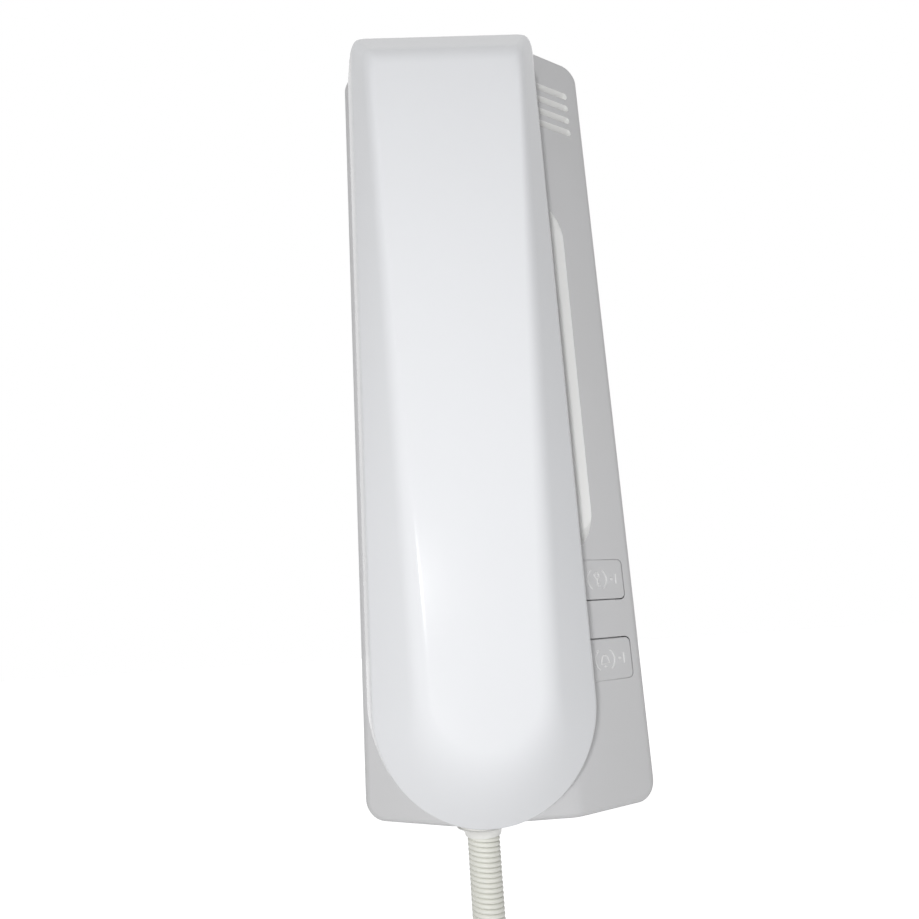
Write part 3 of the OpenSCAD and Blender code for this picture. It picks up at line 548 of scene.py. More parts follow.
@dataclass
class CurlyCord:
    """The curly cord between handset and base: a flat twin cable that hangs in a loop below them."""

    curl_d: float = 8.0
    wire_d: float = 1.0
    cad_wire_d: float = 1.6
    curl_pitch: float = 2.06
    bend_pitch: float = 2.9
    bend_z: float = -190.0
    hand_x: float = -8.8
    base_x: float = -7.75
    hand_d: float = 33.0
    base_d: float = 8.5
    hand_root: float = -102.1
    base_root: float = -103.5
    run_in: float = 6.0
    run_in_gain: float = 11.0
    ease: float = 10.0
    give: float = 2.4  # how far the bend's zone stops short of the two strands; not used
    per_curl: int = 8
    finer: int = 3
    sides: int = 10

    def __post_init__(self) -> None:
        """Works out the lengths of the strands and the bend."""
        self.bend_r = (self.hand_d - self.base_d) / 2
        self.bend_len = math.pi * self.bend_r
        self.front = self.hand_root - self.bend_z
        self.back = self.base_root - self.bend_z
        self.length = self.front + self.bend_len + self.back

    def axis(self, s: float) -> Vector:
        """Finds a point of the cord's axis.

        Args:
            s: length along the axis from the handset.

        Returns:
            The point in millimetres.
        """
        x = self.hand_x + (self.base_x - self.hand_x) * s / self.length
        if s < self.front:
            return Vector((x, -self.hand_d, self.hand_root - s))
        if s < self.front + self.bend_len:
            b = (s - self.front) / self.bend_r
            return Vector((x, -self.base_d - self.bend_r - self.bend_r * math.cos(b),
                           self.bend_z - self.bend_r * math.sin(b)))
        return Vector((x, -self.base_d, self.bend_z + s - self.front - self.bend_len))

    def aside(self, s: float) -> Vector:
        """Direction across the axis at a length s, in the plane of the bend."""
        b = min(max((s - self.front) / self.bend_len, 0), 1) * math.pi
        return Vector((0, -math.cos(b), -math.sin(b)))

    def _pitch(self, s: float, strand: float) -> float:
        """Finds the pitch of the curls.

        Args:
            s: length from the root of a strand.
            strand: length of the strand.

        Returns:
            The pitch.
        """
        bend = min(max((s - strand) / self.ease + 1, 0), 1)
        root = max(1 - (s - self.cad_wire_d) / self.run_in, 0)
        pitch = self.curl_pitch + (self.bend_pitch - self.curl_pitch) * bend
        return pitch * (1 + self.run_in_gain * root**2)

    def _half(self, strand: float) -> list[float]:
        """Divides the axis from the root of a strand to the middle of the bend.

        Args:
            strand: length of the strand.

        Returns:
            Lengths from the root, a part of a curl apart.
        """
        end = strand + self.bend_len / 2
        steps, s = [0.0], self.cad_wire_d
        while s <= end:
            steps.append(s)
            s += self._pitch(s, strand) / self.per_curl
        steps.append(s)
        return [v * end / s for v in steps]

    def path(self, side: int = 0) -> list[Vector]:
        """A line along the curls, in millimetres.

        Args:
            side: -1 or 1 for one of the two wires, 0 for the middle of the cable.

        Returns:
            Points of the line.
        """
        stations = self._half(self.front) + [self.length - s for s in self._half(self.back)[-2::-1]]
        last = len(stations) - 1
        radius = (self.curl_d - self.cad_wire_d) / 2
        points = []
        for j in range(last * self.finer + 1):
            i = min(j // self.finer, last - 1)
            step = stations[i + 1] - stations[i]
            beside = side * min(step * self.per_curl, self.bend_pitch) / 4
            s = min(max(stations[i] + step * (j / self.finer - i) + beside, 0), self.length)
            a = math.tau * min(max(j / self.finer, 1), last - 1) / self.per_curl
            out = math.cos(a) * self.aside(s) + math.sin(a) * Vector((1, 0, 0))
            points.append(self.axis(s) + radius * out)
        return points

    def build(self) -> Piece:
        """Returns:
            The cord.
        """
        line = self.path()
        wires = [self.path(side) for side in (-1, 1)]
        cord = swept(strands("curly_cord_wire", wires), self.wire_d / 2, self.sides, CORD_IVORY)
        cord.data.shade_smooth()
        dress(cord, CORD_IVORY)
        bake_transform(cord)
        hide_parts("curly_cord")
        return cord


@dataclass
class Gland:
    """A cord gland: sleeve with a lip inside the shell and a collar below it."""

    in_r: float = 3.85
    nose_t: float = 0.25
    sleeve_r: float = 5.2
    hole_r: float = 5.35
    hole_low: float = -5.0
    hole_high: float = 9.0
    lip_r: float = 6.1
    collar_r: float = 5.9
    cap: float = 1.6
    foot: float = 2.0
    rim: float = 0.1
    chamfer: float = 0.06
    lap: float = 0.05
    gap: float = 0.04

    def hole(self, name: str, at: Point) -> Piece:
        """The hole that a gland sits in, as a solid."""
        r, low, high = self.hole_r, self.hole_low, self.hole_high
        return lathe(name, [(0, low), (r, low), (r, high), (0, high)], at)

    def build(self, name: str, node: str, body: str, at: Point, root: float, lip_z: float,
              top: float) -> Piece:
        """Builds the gland.

        Args:
            name: name of the piece.
            node: solid that it stands for.
            body: body that it rides on.
            at: middle of the hole that it leaves by.
            root: height at which the cord ends in it.
            lip_z: height of the lip.
            top: height of its top.

        Returns:
            The gland.
        """
        c, s, e, nose = self.collar_r, self.sleeve_r, self.chamfer, self.in_r + self.nose_t
        flare = [(nose + (c - nose) * q, -self.rim - (self.foot - self.rim) * p)
                 for p, q in reversed(rounding(1, 9))]
        end, cap = -self.foot - self.lap, lip_z + self.cap
        profile = [(0, root), (self.in_r, root), (self.in_r, self.rim - self.foot), (self.in_r + e, end),
                   (nose - e, end), *flare, (c, -e), (c - e, -self.gap), (s, -self.gap), (s, lip_z),
                   (self.lip_r, lip_z), (self.lip_r, cap), (s, cap), (s, top), (0, top)]
        gland = lathe(name, profile, at)
        shade(gland, 35)
        return seat(gland, body, COLLAR_WHITE, node)


@dataclass
class WallBase:
    """The wall base: a wedge-sided cover with trough, slots, key holes, lugs and rests."""

    cord: CurlyCord
    gland: Gland
    width: float = 75.0
    height: float = 221.0
    seat_d: float = 24.0
    rim_d: float = 12.0
    slope: float = math.radians(28)
    wall: float = 2.2
    corner: float = 5.0
    edge: float = 1.6
    fold: float = 0.9
    fold_steps: tuple[float, ...] = (0.3, 0.8, 1.4, 2.0)
    trough_x: float = 8.55
    trough_z: float = 5.25
    trough_len: float = 84.5
    trough_w: float = 23.1
    trough_r: float = 1.5
    trough_d: float = 11.0
    trough_fillet: float = 2.0
    trough_reach: float = 20.0  # half width of what counts as the trough
    lead_at: Flat = (21.8, 15.9)
    lead_w: float = 10.0
    lead_slope: float = math.radians(20)
    lead_wall: float = math.radians(65)
    slot_n: int = 4
    slot_h: float = 2.2
    slot_pitch: float = 4.4
    slot_len: float = 15.6
    slot_at: Flat = (25.5, 91.5)
    slot_tilt: float = math.radians(28)
    slot_cut: float = 8.0
    slot_painted_light: float = 2.6  # depth to which the slots' walls get painted light
    slot_reach: float = 9.5  # half side of what counts as the slots
    painted_light_out: Flat = (0.3, 0.86)  # how far faces with painted light look out: least in the trough, most in the slots
    slot_round: float = 0.4
    rim_round: float = 0.3
    rim_turn: float = math.radians(22)
    rim_near: float = 0.06
    key_w: float = 14.6
    key_h: float = 10.8
    key_r: float = 1.5
    key_x: float = 27.3
    key_zs: Flat = (-54.0, -74.4)
    screw_at: tuple[Flat, Flat] = ((2.0, 77.5), (9.0, -98.0))
    screw_seat: float = 12.0
    head_r: float = 3.1
    shank_r: float = 1.6
    boss_r: float = 4.9
    boss_d: float = 9.0
    hand_x: float = -7.2
    lug_w: float = 10.0
    lug_t: float = 4.0
    lug_out: float = 4.2
    lug_round: float = 0.6
    lug_zs: Flat = (82.0, -68.0)
    rest_zs: Flat = (71.0, -84.0)
    rest_h: float = 13.0
    rest_w: float = 14.0
    window_w: float = 9.2
    window_h: float = 14.0
    window_z: float = -78.0
    window_r: float = 0.3

    def __post_init__(self) -> None:
        """Works out where the seat ends, how far the trough's walls rise and where the cord leaves."""
        self.seat_x = self.width / 2 - (self.seat_d - self.rim_d) / math.tan(self.slope)
        self.trough_rise = self.seat_d + THROUGH - self.trough_d
        self.exit = (self.cord.base_x, -self.cord.base_d, -self.height / 2)

    def panel(self, x: float) -> float:
        """Depth of a side panel's face at a distance x from the middle."""
        return self.rim_d + (self.width / 2 - abs(x)) * math.tan(self.slope)

    def face(self, x: float, t: float = 0.0) -> float:
        """Depth of the front at a distance x from the middle, set in by t."""
        return soft_min(self.panel(x) - t / math.cos(self.slope), self.seat_d - t, self.fold)

    def _half_loop(self, e: float) -> list[Flat]:
        """Upper half of the outline.

        Args:
            e: how far it is set in.

        Returns:
            Its points from left to right.
        """
        cx, cz, r = self.width / 2 - self.corner, self.height / 2 - self.corner, self.corner - e
        bend = arc(0, 0, r, 0, 90, 10)
        flat = sorted(s * (self.seat_x + w * d) for s in (-1, 1) for w in (-1, 1) for d in self.fold_steps)
        left = [(-cx - x, cz + z) for x, z in bend]
        return left + [(x, cz + r) for x in flat] + [(cx + x, cz + z) for x, z in reversed(bend)]

    def _block(self, name: str, t: float, back: float, rounded: Sequence[Flat]) -> Piece:
        """A solid block under the front.

        Args:
            name: name of the piece.
            t: how far its faces are set in.
            back: depth of its back.
            rounded: further inset and drop of each ring round its front.

        Returns:
            The new object.
        """
        rings = []
        for e, drop in [(0, None), *rounded]:
            half = self._half_loop(t + e)
            rings.append([(x, -back if drop is None else drop - self.face(x, t), z)
                          for x, z in half + [(x, -z) for x, z in reversed(half)]])
        return skin(name, rings, strips=True)

    def _trough(self, name: str, grown: float) -> Piece:
        """The trough as a solid with walls at 45 degrees, grown by a wall thickness.

        Args:
            name: name of the piece.
            grown: the wall thickness.

        Returns:
            The new object.
        """
        f = self.trough_fillet
        tangent = f * math.tan(math.radians(22.5))
        steps = [(-tangent + f * math.sin(a), f - f * math.cos(a)) for a in
                 (math.radians(45 * i / 5) for i in range(6))]
        steps.append((self.trough_rise, self.trough_rise))
        out = grown * (math.sqrt(2) - 1)
        rings = []
        for aside, up in steps:
            o = aside + out + (grown if up > self.seat_d - self.trough_d else 0)
            outline = round_box(self.trough_w + 2 * o, self.trough_len + 2 * o, self.trough_r + o, 12)
            rings.append([(self.trough_x + x, -self.trough_d + grown - up - (grown if up > f else 0),
                           self.trough_z + z) for x, z in outline])
        return skin(name, rings)

    def _lead_in(self, name: str) -> Piece:
        """What the trough leaves standing at its outer wall: a gentle lead-in for the fingers.

        Args:
            name: name of the piece.

        Returns:
            The new object.
        """
        x, d = self.lead_at
        out, down = self.lead_w, d - self.trough_d + 2 * THROUGH
        profile = [(x, d), (x + out, d + out * math.tan(self.lead_slope)), (x + out, d - down),
                   (x - down / math.tan(self.lead_wall), d - down)]
        return skin(name, [[(a, -b, h) for a, b in profile] for h in (-self.height / 2, self.height / 2)])

    def lug_outline(self, z: float, play: float = 0.0) -> list[Flat]:
        """Outline of a hanging lug in depth and z, slanting up and out from a root at z.

        Args:
            z: height of the root.
            play: how far the outline is grown.

        Returns:
            Its four corners.
        """
        root, tip = self.seat_d - self.wall / 2, self.seat_d + self.lug_out + play
        low, high = z - self.wall / 2, z + self.lug_out
        return [(root, low - play), (tip, high), (tip, high + self.lug_t + 2 * play),
                (root, low + self.lug_t + play)]

    def _lug(self, name: str, z: float) -> Piece:
        """A hanging lug with rounded outer edges.

        Args:
            name: name of the piece.
            z: height of its root.

        Returns:
            The new object.
        """
        lug = across(name, self.lug_outline(z), self.hand_x, self.lug_w)
        soften(lug, self.lug_round, lambda e: min(v.co.y for v in e.verts) < -self.seat_d * MM)
        return lug

    def _rest(self, name: str, z: float) -> Piece:
        """A rest on the left panel, level with the seat.

        Args:
            name: name of the piece.
            z: height of its lower end.

        Returns:
            The new object.
        """
        x0, x1, flat = self.seat_x - THROUGH, self.seat_x + self.rest_w, FLUSH - self.seat_d
        foot0, foot1 = THROUGH - self.panel(self.seat_x), THROUGH - self.panel(x1)
        return skin(name, [[(-x0, flat, h), (-x1, flat, h), (-x1, foot1, h), (-x0, foot0, h)]
                           for h in (z, z + self.rest_h)])

    def _slots(self) -> Piece:
        """The sounder slots as solids that slant down into the panel, half of them on each side of it.

        Returns:
            The solids as one object.
        """
        turn, tilt, (x, z) = self.slope, self.slot_tilt, self.slot_at
        way = Vector((math.sin(turn) * math.cos(tilt), -math.cos(turn) * math.cos(tilt), math.sin(tilt)))
        foot = (Vector((x, -self.panel(x), z)) - way * self.slot_cut / 2) * MM
        tool = NodeTool("slots", {"Count": self.slot_n, "Pitch": self.slot_pitch, "Depth": self.slot_cut,
                                  "Length": self.slot_len / math.cos(turn),
                                  "Height": self.slot_h * math.cos(tilt)})
        get = tool.inputs
        line = tool.add("GeometryNodeCurvePrimitiveQuadrilateral", Width=get["Length"], Height=get["Height"])
        line = tool.add("GeometryNodeFilletCurve", options={"mode": "POLY"}, Curve=line, Count=9,
                        Radius=tool.maths("MULTIPLY", get["Height"], 0.499))
        face = tool.add("GeometryNodeFillCurve", options={"mode": "NGONS"}, Curve=line)
        raised = tool.add("GeometryNodeExtrudeMesh", Mesh=face, Offset_Scale=get["Depth"], Individual=False)
        both = tool.add("GeometryNodeJoinGeometry", [tool.add("GeometryNodeFlipFaces", Mesh=face), raised])
        slot = tool.add("GeometryNodeMergeByDistance", Geometry=both, Distance=1e-6)
        half = tool.maths("MULTIPLY", tool.maths("SUBTRACT", get["Count"], 1), -0.5)
        low = tool.maths("ADD", tool.maths("MULTIPLY", half, get["Pitch"]), foot.z)
        row = tool.add("GeometryNodeMeshLine", Count=get["Count"],
                       Start_Location=tool.add("ShaderNodeCombineXYZ", foot.x, foot.y, low),
                       Offset=tool.add("ShaderNodeCombineXYZ", Z=get["Pitch"]))
        placed = tool.add("GeometryNodeInstanceOnPoints", Points=row, Instance=slot,
                          Rotation=(math.radians(90) - tilt, 0, turn))
        return tool.run(placed, BASE_WHITE)

    def build(self) -> Piece:
        """Builds the cover.

        Returns:
            The cover.
        """
        cover = self._block("base_cover_shell", 0, 0, rounding(self.edge))
        space = self._block("space", self.wall, -THROUGH, [(0, 0)])
        work(space, [self._trough("trough_wall", self.wall)], Role.CUT)
        trough = self._trough("trough", 0)
        work(trough, [self._lead_in("lead_in")], Role.CUT)
        work(cover, [space, trough], Role.CUT)
        boss, top = circle(self.boss_r), self.seat_d - self.wall / 2
        joined = [peg("boss", boss, p, self.boss_d, top) for p in self.screw_at]
        joined += [self._lug("lug", z) for z in self.lug_zs]
        joined += [self._rest("rest", z) for z in self.rest_zs]
        work(cover, joined, Role.JOIN)
        tall = self.seat_d + 2 * THROUGH
        key = round_box(self.key_w, self.key_h, self.key_r)
        cuts = [self._slots()]
        cuts += [peg("key_hole", key, (self.key_x, z), self.wall, tall) for z in self.key_zs]
        for p in self.screw_at:
            cuts += [peg("head_hole", circle(self.head_r), p, self.screw_seat, tall),
                     peg("shank_hole", circle(self.shank_r), p, self.boss_d - 4 * THROUGH, tall)]
        cuts += [peg("window", round_box(self.window_w, self.window_h, self.window_r, 3),
                     (self.hand_x, self.window_z), self.screw_seat, tall),
                 self.gland.hole("cord_hole", self.exit)]
        work(cover, cuts, Role.CUT)
        soften(cover, self.slot_round, lambda e: self._is_rim(e) and self._by_slots(e.verts[0].co))
        soften(cover, self.rim_round, lambda e: self._is_rim(e) and not self._by_slots(e.verts[0].co))
        shade(cover, 50, weighted=True)
        seat(cover, "base", BASE_WHITE, "base_cover")
        self._paint_light(cover)
        return cover

    def _paint_light(self, cover: Piece) -> None:
        """Paints light into the trough and the slots: their faces get a lighter copy of the base's white.

        Args:
            cover: the cover.
        """
        # painted light: the lighter copy of the base's white goes on the trough's and slots' faces
        cover.data.materials.append(BASE_PAINTED_LIGHT.material())
        for face in cover.data.polygons:
            x, d, z = face.center.x / MM, -face.center.y / MM, face.center.z / MM
            under, out = self.face(x) - d, -face.normal.y
            inside = (abs(x - self.trough_x) < self.trough_reach
                      and abs(z - self.trough_z) < self.trough_len / 2 + self.trough_rise)
            trough = inside and d > self.trough_d - FLUSH and out > self.painted_light_out[0]
            slots = self._by_slots(face.center) and under < self.slot_painted_light and out < self.painted_light_out[1]
            if under > FLUSH and (trough or slots):
                face.material_index = 1

    def _by_slots(self, place: Vector) -> bool:
        """Says whether a place lies among the slots."""
        return all(abs(v / MM - at) < self.slot_reach for v, at in zip((place.x, place.z), self.slot_at))

    def _is_rim(self, edge: Edge) -> bool:
        """Says whether an edge lies where a hole or the trough meets the front.

        Args:
            edge: the edge.

        Returns:
            True if it does.
        """
        if edge.calc_face_angle(0) < self.rim_turn:
            return False
        end = self.height / 2 - self.edge - self.rim_near
        return all(abs(-v.co.y / MM - self.face(v.co.x / MM)) <= self.rim_near and abs(v.co.z / MM) <= end
                   for v in edge.verts)


@dataclass
class PushKey:
    """A push key with a dished cap, a lip behind the panel and a raised pictogram."""

    base: WallBase
    z: float
    width: float = 14.4
    height: float = 10.5
    corner: float = 1.45
    shift: Flat = (0.07, 0.12)
    proud: float = 0.3
    lean: float = 0.3
    round_r: float = 0.4
    dish: float = 0.18
    stroke: float = 0.24
    gap: float = 0.3
    lip: float = 0.9
    lip_t: float = 1.4
    lip_short: float = 2.4
    stem_r: float = 2.4
    stem_d: float = 11.8

    def __post_init__(self) -> None:
        """Works out the middle of the cap, a little away from the other key."""
        self.x = self.base.key_x + self.shift[0]
        self.z += self.shift[1] if self.z == max(self.base.key_zs) else -self.shift[1]

    def surface(self, u: float, v: float) -> Point:
        """Point on the cap at u across and v up from its middle."""
        hollow = self.dish * max(1 - (2 * u / self.width) ** 2, 0) * max(1 - (2 * v / self.height) ** 2, 0)
        return self._place(u, v, self.proud - hollow)

    def _place(self, u: float, v: float, d: float) -> Point:
        """Point at u across, v up and d out from the panel, leaning with the cap."""
        x = self.x + u
        return (x, -self.base.panel(x) - d + self.lean * 2 * u / self.width, self.z + v)

    def _outline(self, e: float) -> list[Flat]:
        """Outline of the cap, set in by e."""
        return round_box(self.width - 2 * e, self.height - 2 * e, self.corner - e, 6)

    def build(self, node: str) -> Piece:
        """Builds the key.

        Args:
            node: solid that it stands for, and the body that it rides on.

        Returns:
            The key.
        """
        base = self.base
        under = -base.wall / math.cos(base.slope) - self.gap
        edges = [(0, under - self.lip_t / 2)] + [(e, self.proud - drop) for e, drop in rounding(self.round_r)]
        rings = [[self._place(u, v, d) for u, v in self._outline(e)] for e, d in edges]
        rings += [[self.surface(u * k, v * k) for u, v in self._outline(self.round_r)]
                  for k in (0.93, 0.8, 0.6, 0.4, 0.2, 0.05)]
        key = skin(node + "_cap", rings)
        x0, x1 = base.key_x - self.width / 2 - self.lip, base.key_x + self.width / 2 - self.lip_short
        h = self.height / 2 + self.lip
        corners = ((x0, -h), (x1, -h), (x1, h), (x0, h))
        lip = skin("lip", [[(x, -base.panel(x) - d, self.z + v) for x, v in corners]
                           for d in (under - self.lip_t, under)])
        stem = peg("stem", circle(self.stem_r, 32), (base.key_x, self.z), self.stem_d,
                   base.panel(base.key_x) - base.wall / 2)
        work(key, [lip, stem], Role.JOIN)
        shade(key, 35)
        return seat(key, node, BASE_WHITE, node)

    def mark(self, node: str, lines: Sequence[Stroke]) -> Piece:
        """Builds the raised pictogram.

        Args:
            node: body that it rides on.
            lines: strokes on the cap, each with whether it is closed.

        Returns:
            The pictogram.
        """
        paths = [[self.surface(u, v) for u, v in line] for line, _ in lines]
        drawn = strands(node + "_pictogram", paths, [closed for _, closed in lines])
        mark = swept(drawn, self.stroke, 8, SIGN_PALE)
        return seat(mark, node, SIGN_PALE)


@dataclass
class Sign:
    """A key's pictogram: a picture between two sound waves, with a dot and a short bar beside it."""

    u: float = -1.0
    wave_r: float = 2.9
    wave_half: float = 55.0
    dot_u: float = 3.5
    dot_r: float = 0.25
    bar_u: float = 4.8
    bar_h: float = 1.3

    def _framed(self, *picture: Stroke) -> list[Stroke]:
        """Adds what stands beside a picture.

        Args:
            picture: strokes of the picture.

        Returns:
            Strokes of the whole sign.
        """
        half, bar = self.wave_half, [(self.bar_u, -self.bar_h), (self.bar_u, self.bar_h)]
        waves = [(arc(self.u, 0, self.wave_r, a - half, a + half), False) for a in (180, 0)]
        return [*waves, *picture, (bar, False), (arc(self.dot_u, 0, self.dot_r, 0, 330, 8), True)]

    def bell(self) -> list[Stroke]:
        """Strokes of a bell."""
        bell = [(self.u - 1.3, -1.0), *arc(self.u, 0.1, 0.95, 180, 0), (self.u + 1.3, -1.0)]
        return self._framed((bell, True), (arc(self.u, -1.5, 0.25, 180, 360, 6), False))

    def door_key(self) -> list[Stroke]:
        """Strokes of a door key: its bow, its blade with the end and a tooth."""
        u, bow = self.u, arc(self.u, 1.0, 0.75, -90, 255, 16)
        return self._framed((bow, True), ([(u, 0.25), (u, -1.7), (u + 0.75, -1.7)], False),
                            ([(u, -1.0), (u + 0.6, -1.0)], False))


@dataclass
class Handset:
    """The handset: a lofted front shell with soft edges and a back shell with ear and mouth holes."""

    base: WallBase
    top: float = 97.1
    low: float = -107.6
    width: float = 54.0
    end_rise: float = 28.0
    top_r: float = 6.8
    back_d: float = 6.7
    front_d: float = 23.0
    gap: float = 0.3
    wall: float = 2.2
    shoulder: float = 12.0
    lean: float = 1.8
    end_lean: float = 1.0
    brow_len: float = 16.5
    front_w_top: float = 40.0
    front_w_low: float = 27.5
    land: float = 1.2
    flat_in: float = 0.3  # share of the wall by which the front is narrower inside
    foot_in: float = 0.4  # share of the wall by which the shoulder is lower inside
    least_r: float = 1.0
    soft_rim: float = 3.0
    soft_edge: float = 2.6
    soft_brow: float = 2.0
    soft_hip: float = 5.0
    soft_end: float = 8.0
    back_edge: float = 5.0
    seam: float = 0.35
    mouth_round: float = 0.3
    core_in: float = 4.5
    core_up: float = 8.0
    core_rise: float = 16.0
    core_r: float = 2.0
    ring_power: float = 1.35
    ear_z: float = 63.0
    ear_r: float = 15.0
    ear_dish: tuple[Flat, ...] = ((1.0, -0.3), (0.0, 0.04), (-0.8, 0.5), (-4.0, 1.2))  # beyond ear_r, deep
    ear_hole_n: int = 6
    ear_hole_r: float = 1.1
    ear_ring: float = 6.0
    ear_cut: float = 12.0
    mic_z: float = -87.6
    mic_r: float = 1.2
    screw_zs: Flat = (36.0, -44.0)
    well_r: float = 4.7
    well_short: float = 2.0
    head_t: float = 4.0
    play: float = 0.5

    def __post_init__(self) -> None:
        """Works out the place on the base, the parting line, the lower end and where the cord leaves."""
        self.x = self.base.hand_x
        self.back_d0 = self.base.seat_d + self.gap
        self.part_d = self.back_d0 + self.back_d
        self.end_z = self.low + self.end_rise
        self.half = self.width / 2
        self.exit = (self.base.cord.hand_x, -self.base.cord.hand_d, self.low)

    def loop(self, low: float, high: float, z_end: float, rise: float, z_top: float, r: float) -> list[Flat]:
        """A closed loop of the handset's kind: rounded lower end, straight sides, two upper corners.

        Args:
            low: half width over the lower end.
            high: half width at the top.
            z_end: height at which the lower end begins.
            rise: height of the lower end.
            z_top: height of the top.
            r: radius of the upper corners.

        Returns:
            Points of the loop.
        """
        quarter = [math.radians(90 * i / 40) for i in range(41)]
        half = [(low * math.sin(a), z_end - rise * math.cos(a)) for a in quarter]
        half += [(low + (high - low) * i / 40, z_end + (z_top - r - z_end) * i / 40) for i in range(1, 41)]
        half += arc(high - r, z_top - r, r, 0, 90, 10)[1:]
        half += [((high - r) * (1 - i / 16), z_top) for i in range(1, 17)]
        return half + [(-x, z) for x, z in half[-2:0:-1]]

    def outline(self, t: float) -> list[Flat]:
        """Outline at the parting line, set in by t."""
        w = self.half - t
        return self.loop(w, w, self.end_z, self.end_rise - t, self.top - t,
                         max(self.top_r - t, self.least_r))

    def front_half(self, z: float) -> float:
        """Half width of the flat front at a height z."""
        share = (z - self.end_z) / (self.top - self.brow_len - self.end_z)
        return (self.front_w_low + (self.front_w_top - self.front_w_low) * share) / 2

    def rise(self, x: float, z: float, t: float) -> float:
        """Finds the height of the front shell over the parting line.

        Args:
            x: distance from the middle.
            z: height on the handset.
            t: how far the shell's face is set in.

        Returns:
            The height.
        """
        w, full, flat = self.half - t, self.front_d - t, self.front_half(z) - self.flat_in * t
        foot, r = self.shoulder - self.foot_in * t, max(self.top_r - t, self.least_r)
        low = max(self.end_z - z, 0) / (self.end_rise - t)
        side, top = w - math.hypot(x, low * w), self.top - t - z
        inside = r - math.hypot(r - side, r - top) if side < r and top < r else min(side, top)
        lean = self.lean + (self.end_lean - self.lean) * min(low, 1)
        wall = self.land + (self.shoulder - self.land) * max(inside, 0) / lean
        bevel = foot + (full - foot) * (side - self.lean) / (w - flat - self.lean)
        brow = foot + (full - foot) * (top - self.lean) / (self.brow_len - self.lean)
        slope = soft_min(soft_min(bevel, brow, self.soft_hip), wall, self.soft_rim)
        return soft_min(slope, full, self.soft_edge + self.soft_end * min(low, 1))

    def _lay(self, flat: Sequence[Flat], d: float) -> Ring:
        """A ring at one depth."""
        return [(self.x + x, -d, z) for x, z in flat]

    def _seam_rings(self, way: float) -> list[Ring]:
        """Rings that round the rim of a shell at the parting line, toward the front or the back."""
        return [self._lay(self.outline(e), self.part_d + way * d) for d, e in rounding(self.seam, 4)]

    def _front_rings(self, t: float, steps: int) -> list[Ring]:
        """Rings of the front from the parting line to the flat front.

        Args:
            t: how far the face is set in.
            steps: number of steps between the rings.

        Returns:
            The rings.
        """
        rim, inset = self.outline(t), self.core_in + t
        low, high = self.end_z + self.core_up, self.top - self.brow_len - 2 * self.soft_brow
        core = self.loop(self.front_half(low) - inset, self.front_half(high) - inset, low, self.core_rise,
                         high, self.core_r)
        rings = []
        for k in range(steps + 1):
            s = (k / steps) ** self.ring_power
            flat = [(a[0] + (b[0] - a[0]) * s, a[1] + (b[1] - a[1]) * s) for a, b in zip(rim, core)]
            rings.append([(self.x + x, -self.part_d - self.rise(x, z, t), z) for x, z in flat])
        return rings

    def _back_rings(self, t: float, angles: Sequence[float]) -> list[Ring]:
        """Rings of the back from the parting line to the flat back, set in by t."""
        return [self._lay(self.outline(t + (self.back_edge - t) * (1 - math.cos(a))),
                          self.part_d - (self.back_d - t) * math.sin(a)) for a in map(math.radians, angles)]

    def _cord_hole(self) -> Piece:
        """The hole for the cord's gland, as a solid."""
        return self.base.gland.hole("gland_hole", self.exit)

    def _ear_holes(self) -> Piece:
        """A ring of round holes with one in the middle, as solids along the depth.

        Returns:
            The solids as one object.
        """
        tool = NodeTool("ear_holes", {"Count": self.ear_hole_n, "Ring": self.ear_ring,
                                      "Hole": self.ear_hole_r, "Depth": self.ear_cut})
        get, at = tool.inputs, Vector((self.x, -self.back_d0, self.ear_z)) * MM
        pin = tool.add("GeometryNodeMeshCylinder", Vertices=24, Radius=get["Hole"], Depth=get["Depth"])
        line = tool.add("GeometryNodeMeshCircle", Vertices=get["Count"], Radius=get["Ring"])
        both = tool.add("GeometryNodeJoinGeometry", [line, tool.add("GeometryNodeMeshLine", Count=1)])
        placed = tool.add("GeometryNodeInstanceOnPoints", Points=both, Instance=pin)
        turned = tool.add("GeometryNodeTransform", Geometry=placed, Translation=at,
                          Rotation=(math.radians(90), 0, 0))
        return tool.run(turned, HANDSET_WHITE)

    def build_front(self) -> Piece:
        """Builds the front shell.

        Returns:
            The front shell.
        """
        outside = self._seam_rings(1) + self._front_rings(0, 88)
        inside = [self._lay(self.outline(self.wall), self.part_d)] + self._front_rings(self.wall, 20)
        front = skin("handset_front_shell", outside[::-1] + inside)
        work(front, [self._cord_hole()], Role.CUT)
        shade(front, 45)
        return seat(front, "handset", HANDSET_WHITE, "handset_front")

    def build_back(self) -> Piece:
        """Builds the back shell with its dish, holes, screw wells and hanging pockets.

        Returns:
            The back shell.
        """
        outside = self._seam_rings(-1) + self._back_rings(0, [5 + 85 * i / 16 for i in range(17)])
        inside = self._back_rings(self.wall, [0, 20, 40, 60, 75, 90])
        back = skin("handset_back_shell", outside[::-1] + inside)
        floor, before = self.back_d0 + self.wall / 2, self.back_d0 - THROUGH
        wells = [(self.x, z) for z in self.screw_zs]
        deep = self.part_d - self.well_short
        work(back, [peg("well", circle(self.well_r), p, floor, deep) for p in wells], Role.JOIN)
        dish = [[(self.x + x, -self.back_d0 - d, self.ear_z + z) for x, z in circle(self.ear_r + out, 64)]
                for out, d in self.ear_dish]
        cuts = [skin("dish", dish),
                self._ear_holes(),
                peg("mic_hole", circle(self.mic_r, 24), (self.x, self.mic_z), before,
                    self.back_d0 + self.wall + THROUGH)]
        for p in wells:
            cuts += [peg("head_hole", circle(self.base.head_r), p, before, self.part_d - self.head_t),
                     peg("shank_hole", circle(self.base.shank_r, 24), p, before, self.part_d)]
        pocket_w = self.base.lug_w + 2 * self.play
        cuts += [across("pocket", self.base.lug_outline(z, self.play), self.x, pocket_w)
                 for z in self.base.lug_zs]
        cuts.append(self._cord_hole())
        work(back, cuts, Role.CUT)
        soften(back, self.mouth_round, self._is_mouth, 2)
        shade(back, 40, weighted=True)
        return seat(back, "handset", HANDSET_WHITE, "handset_back")

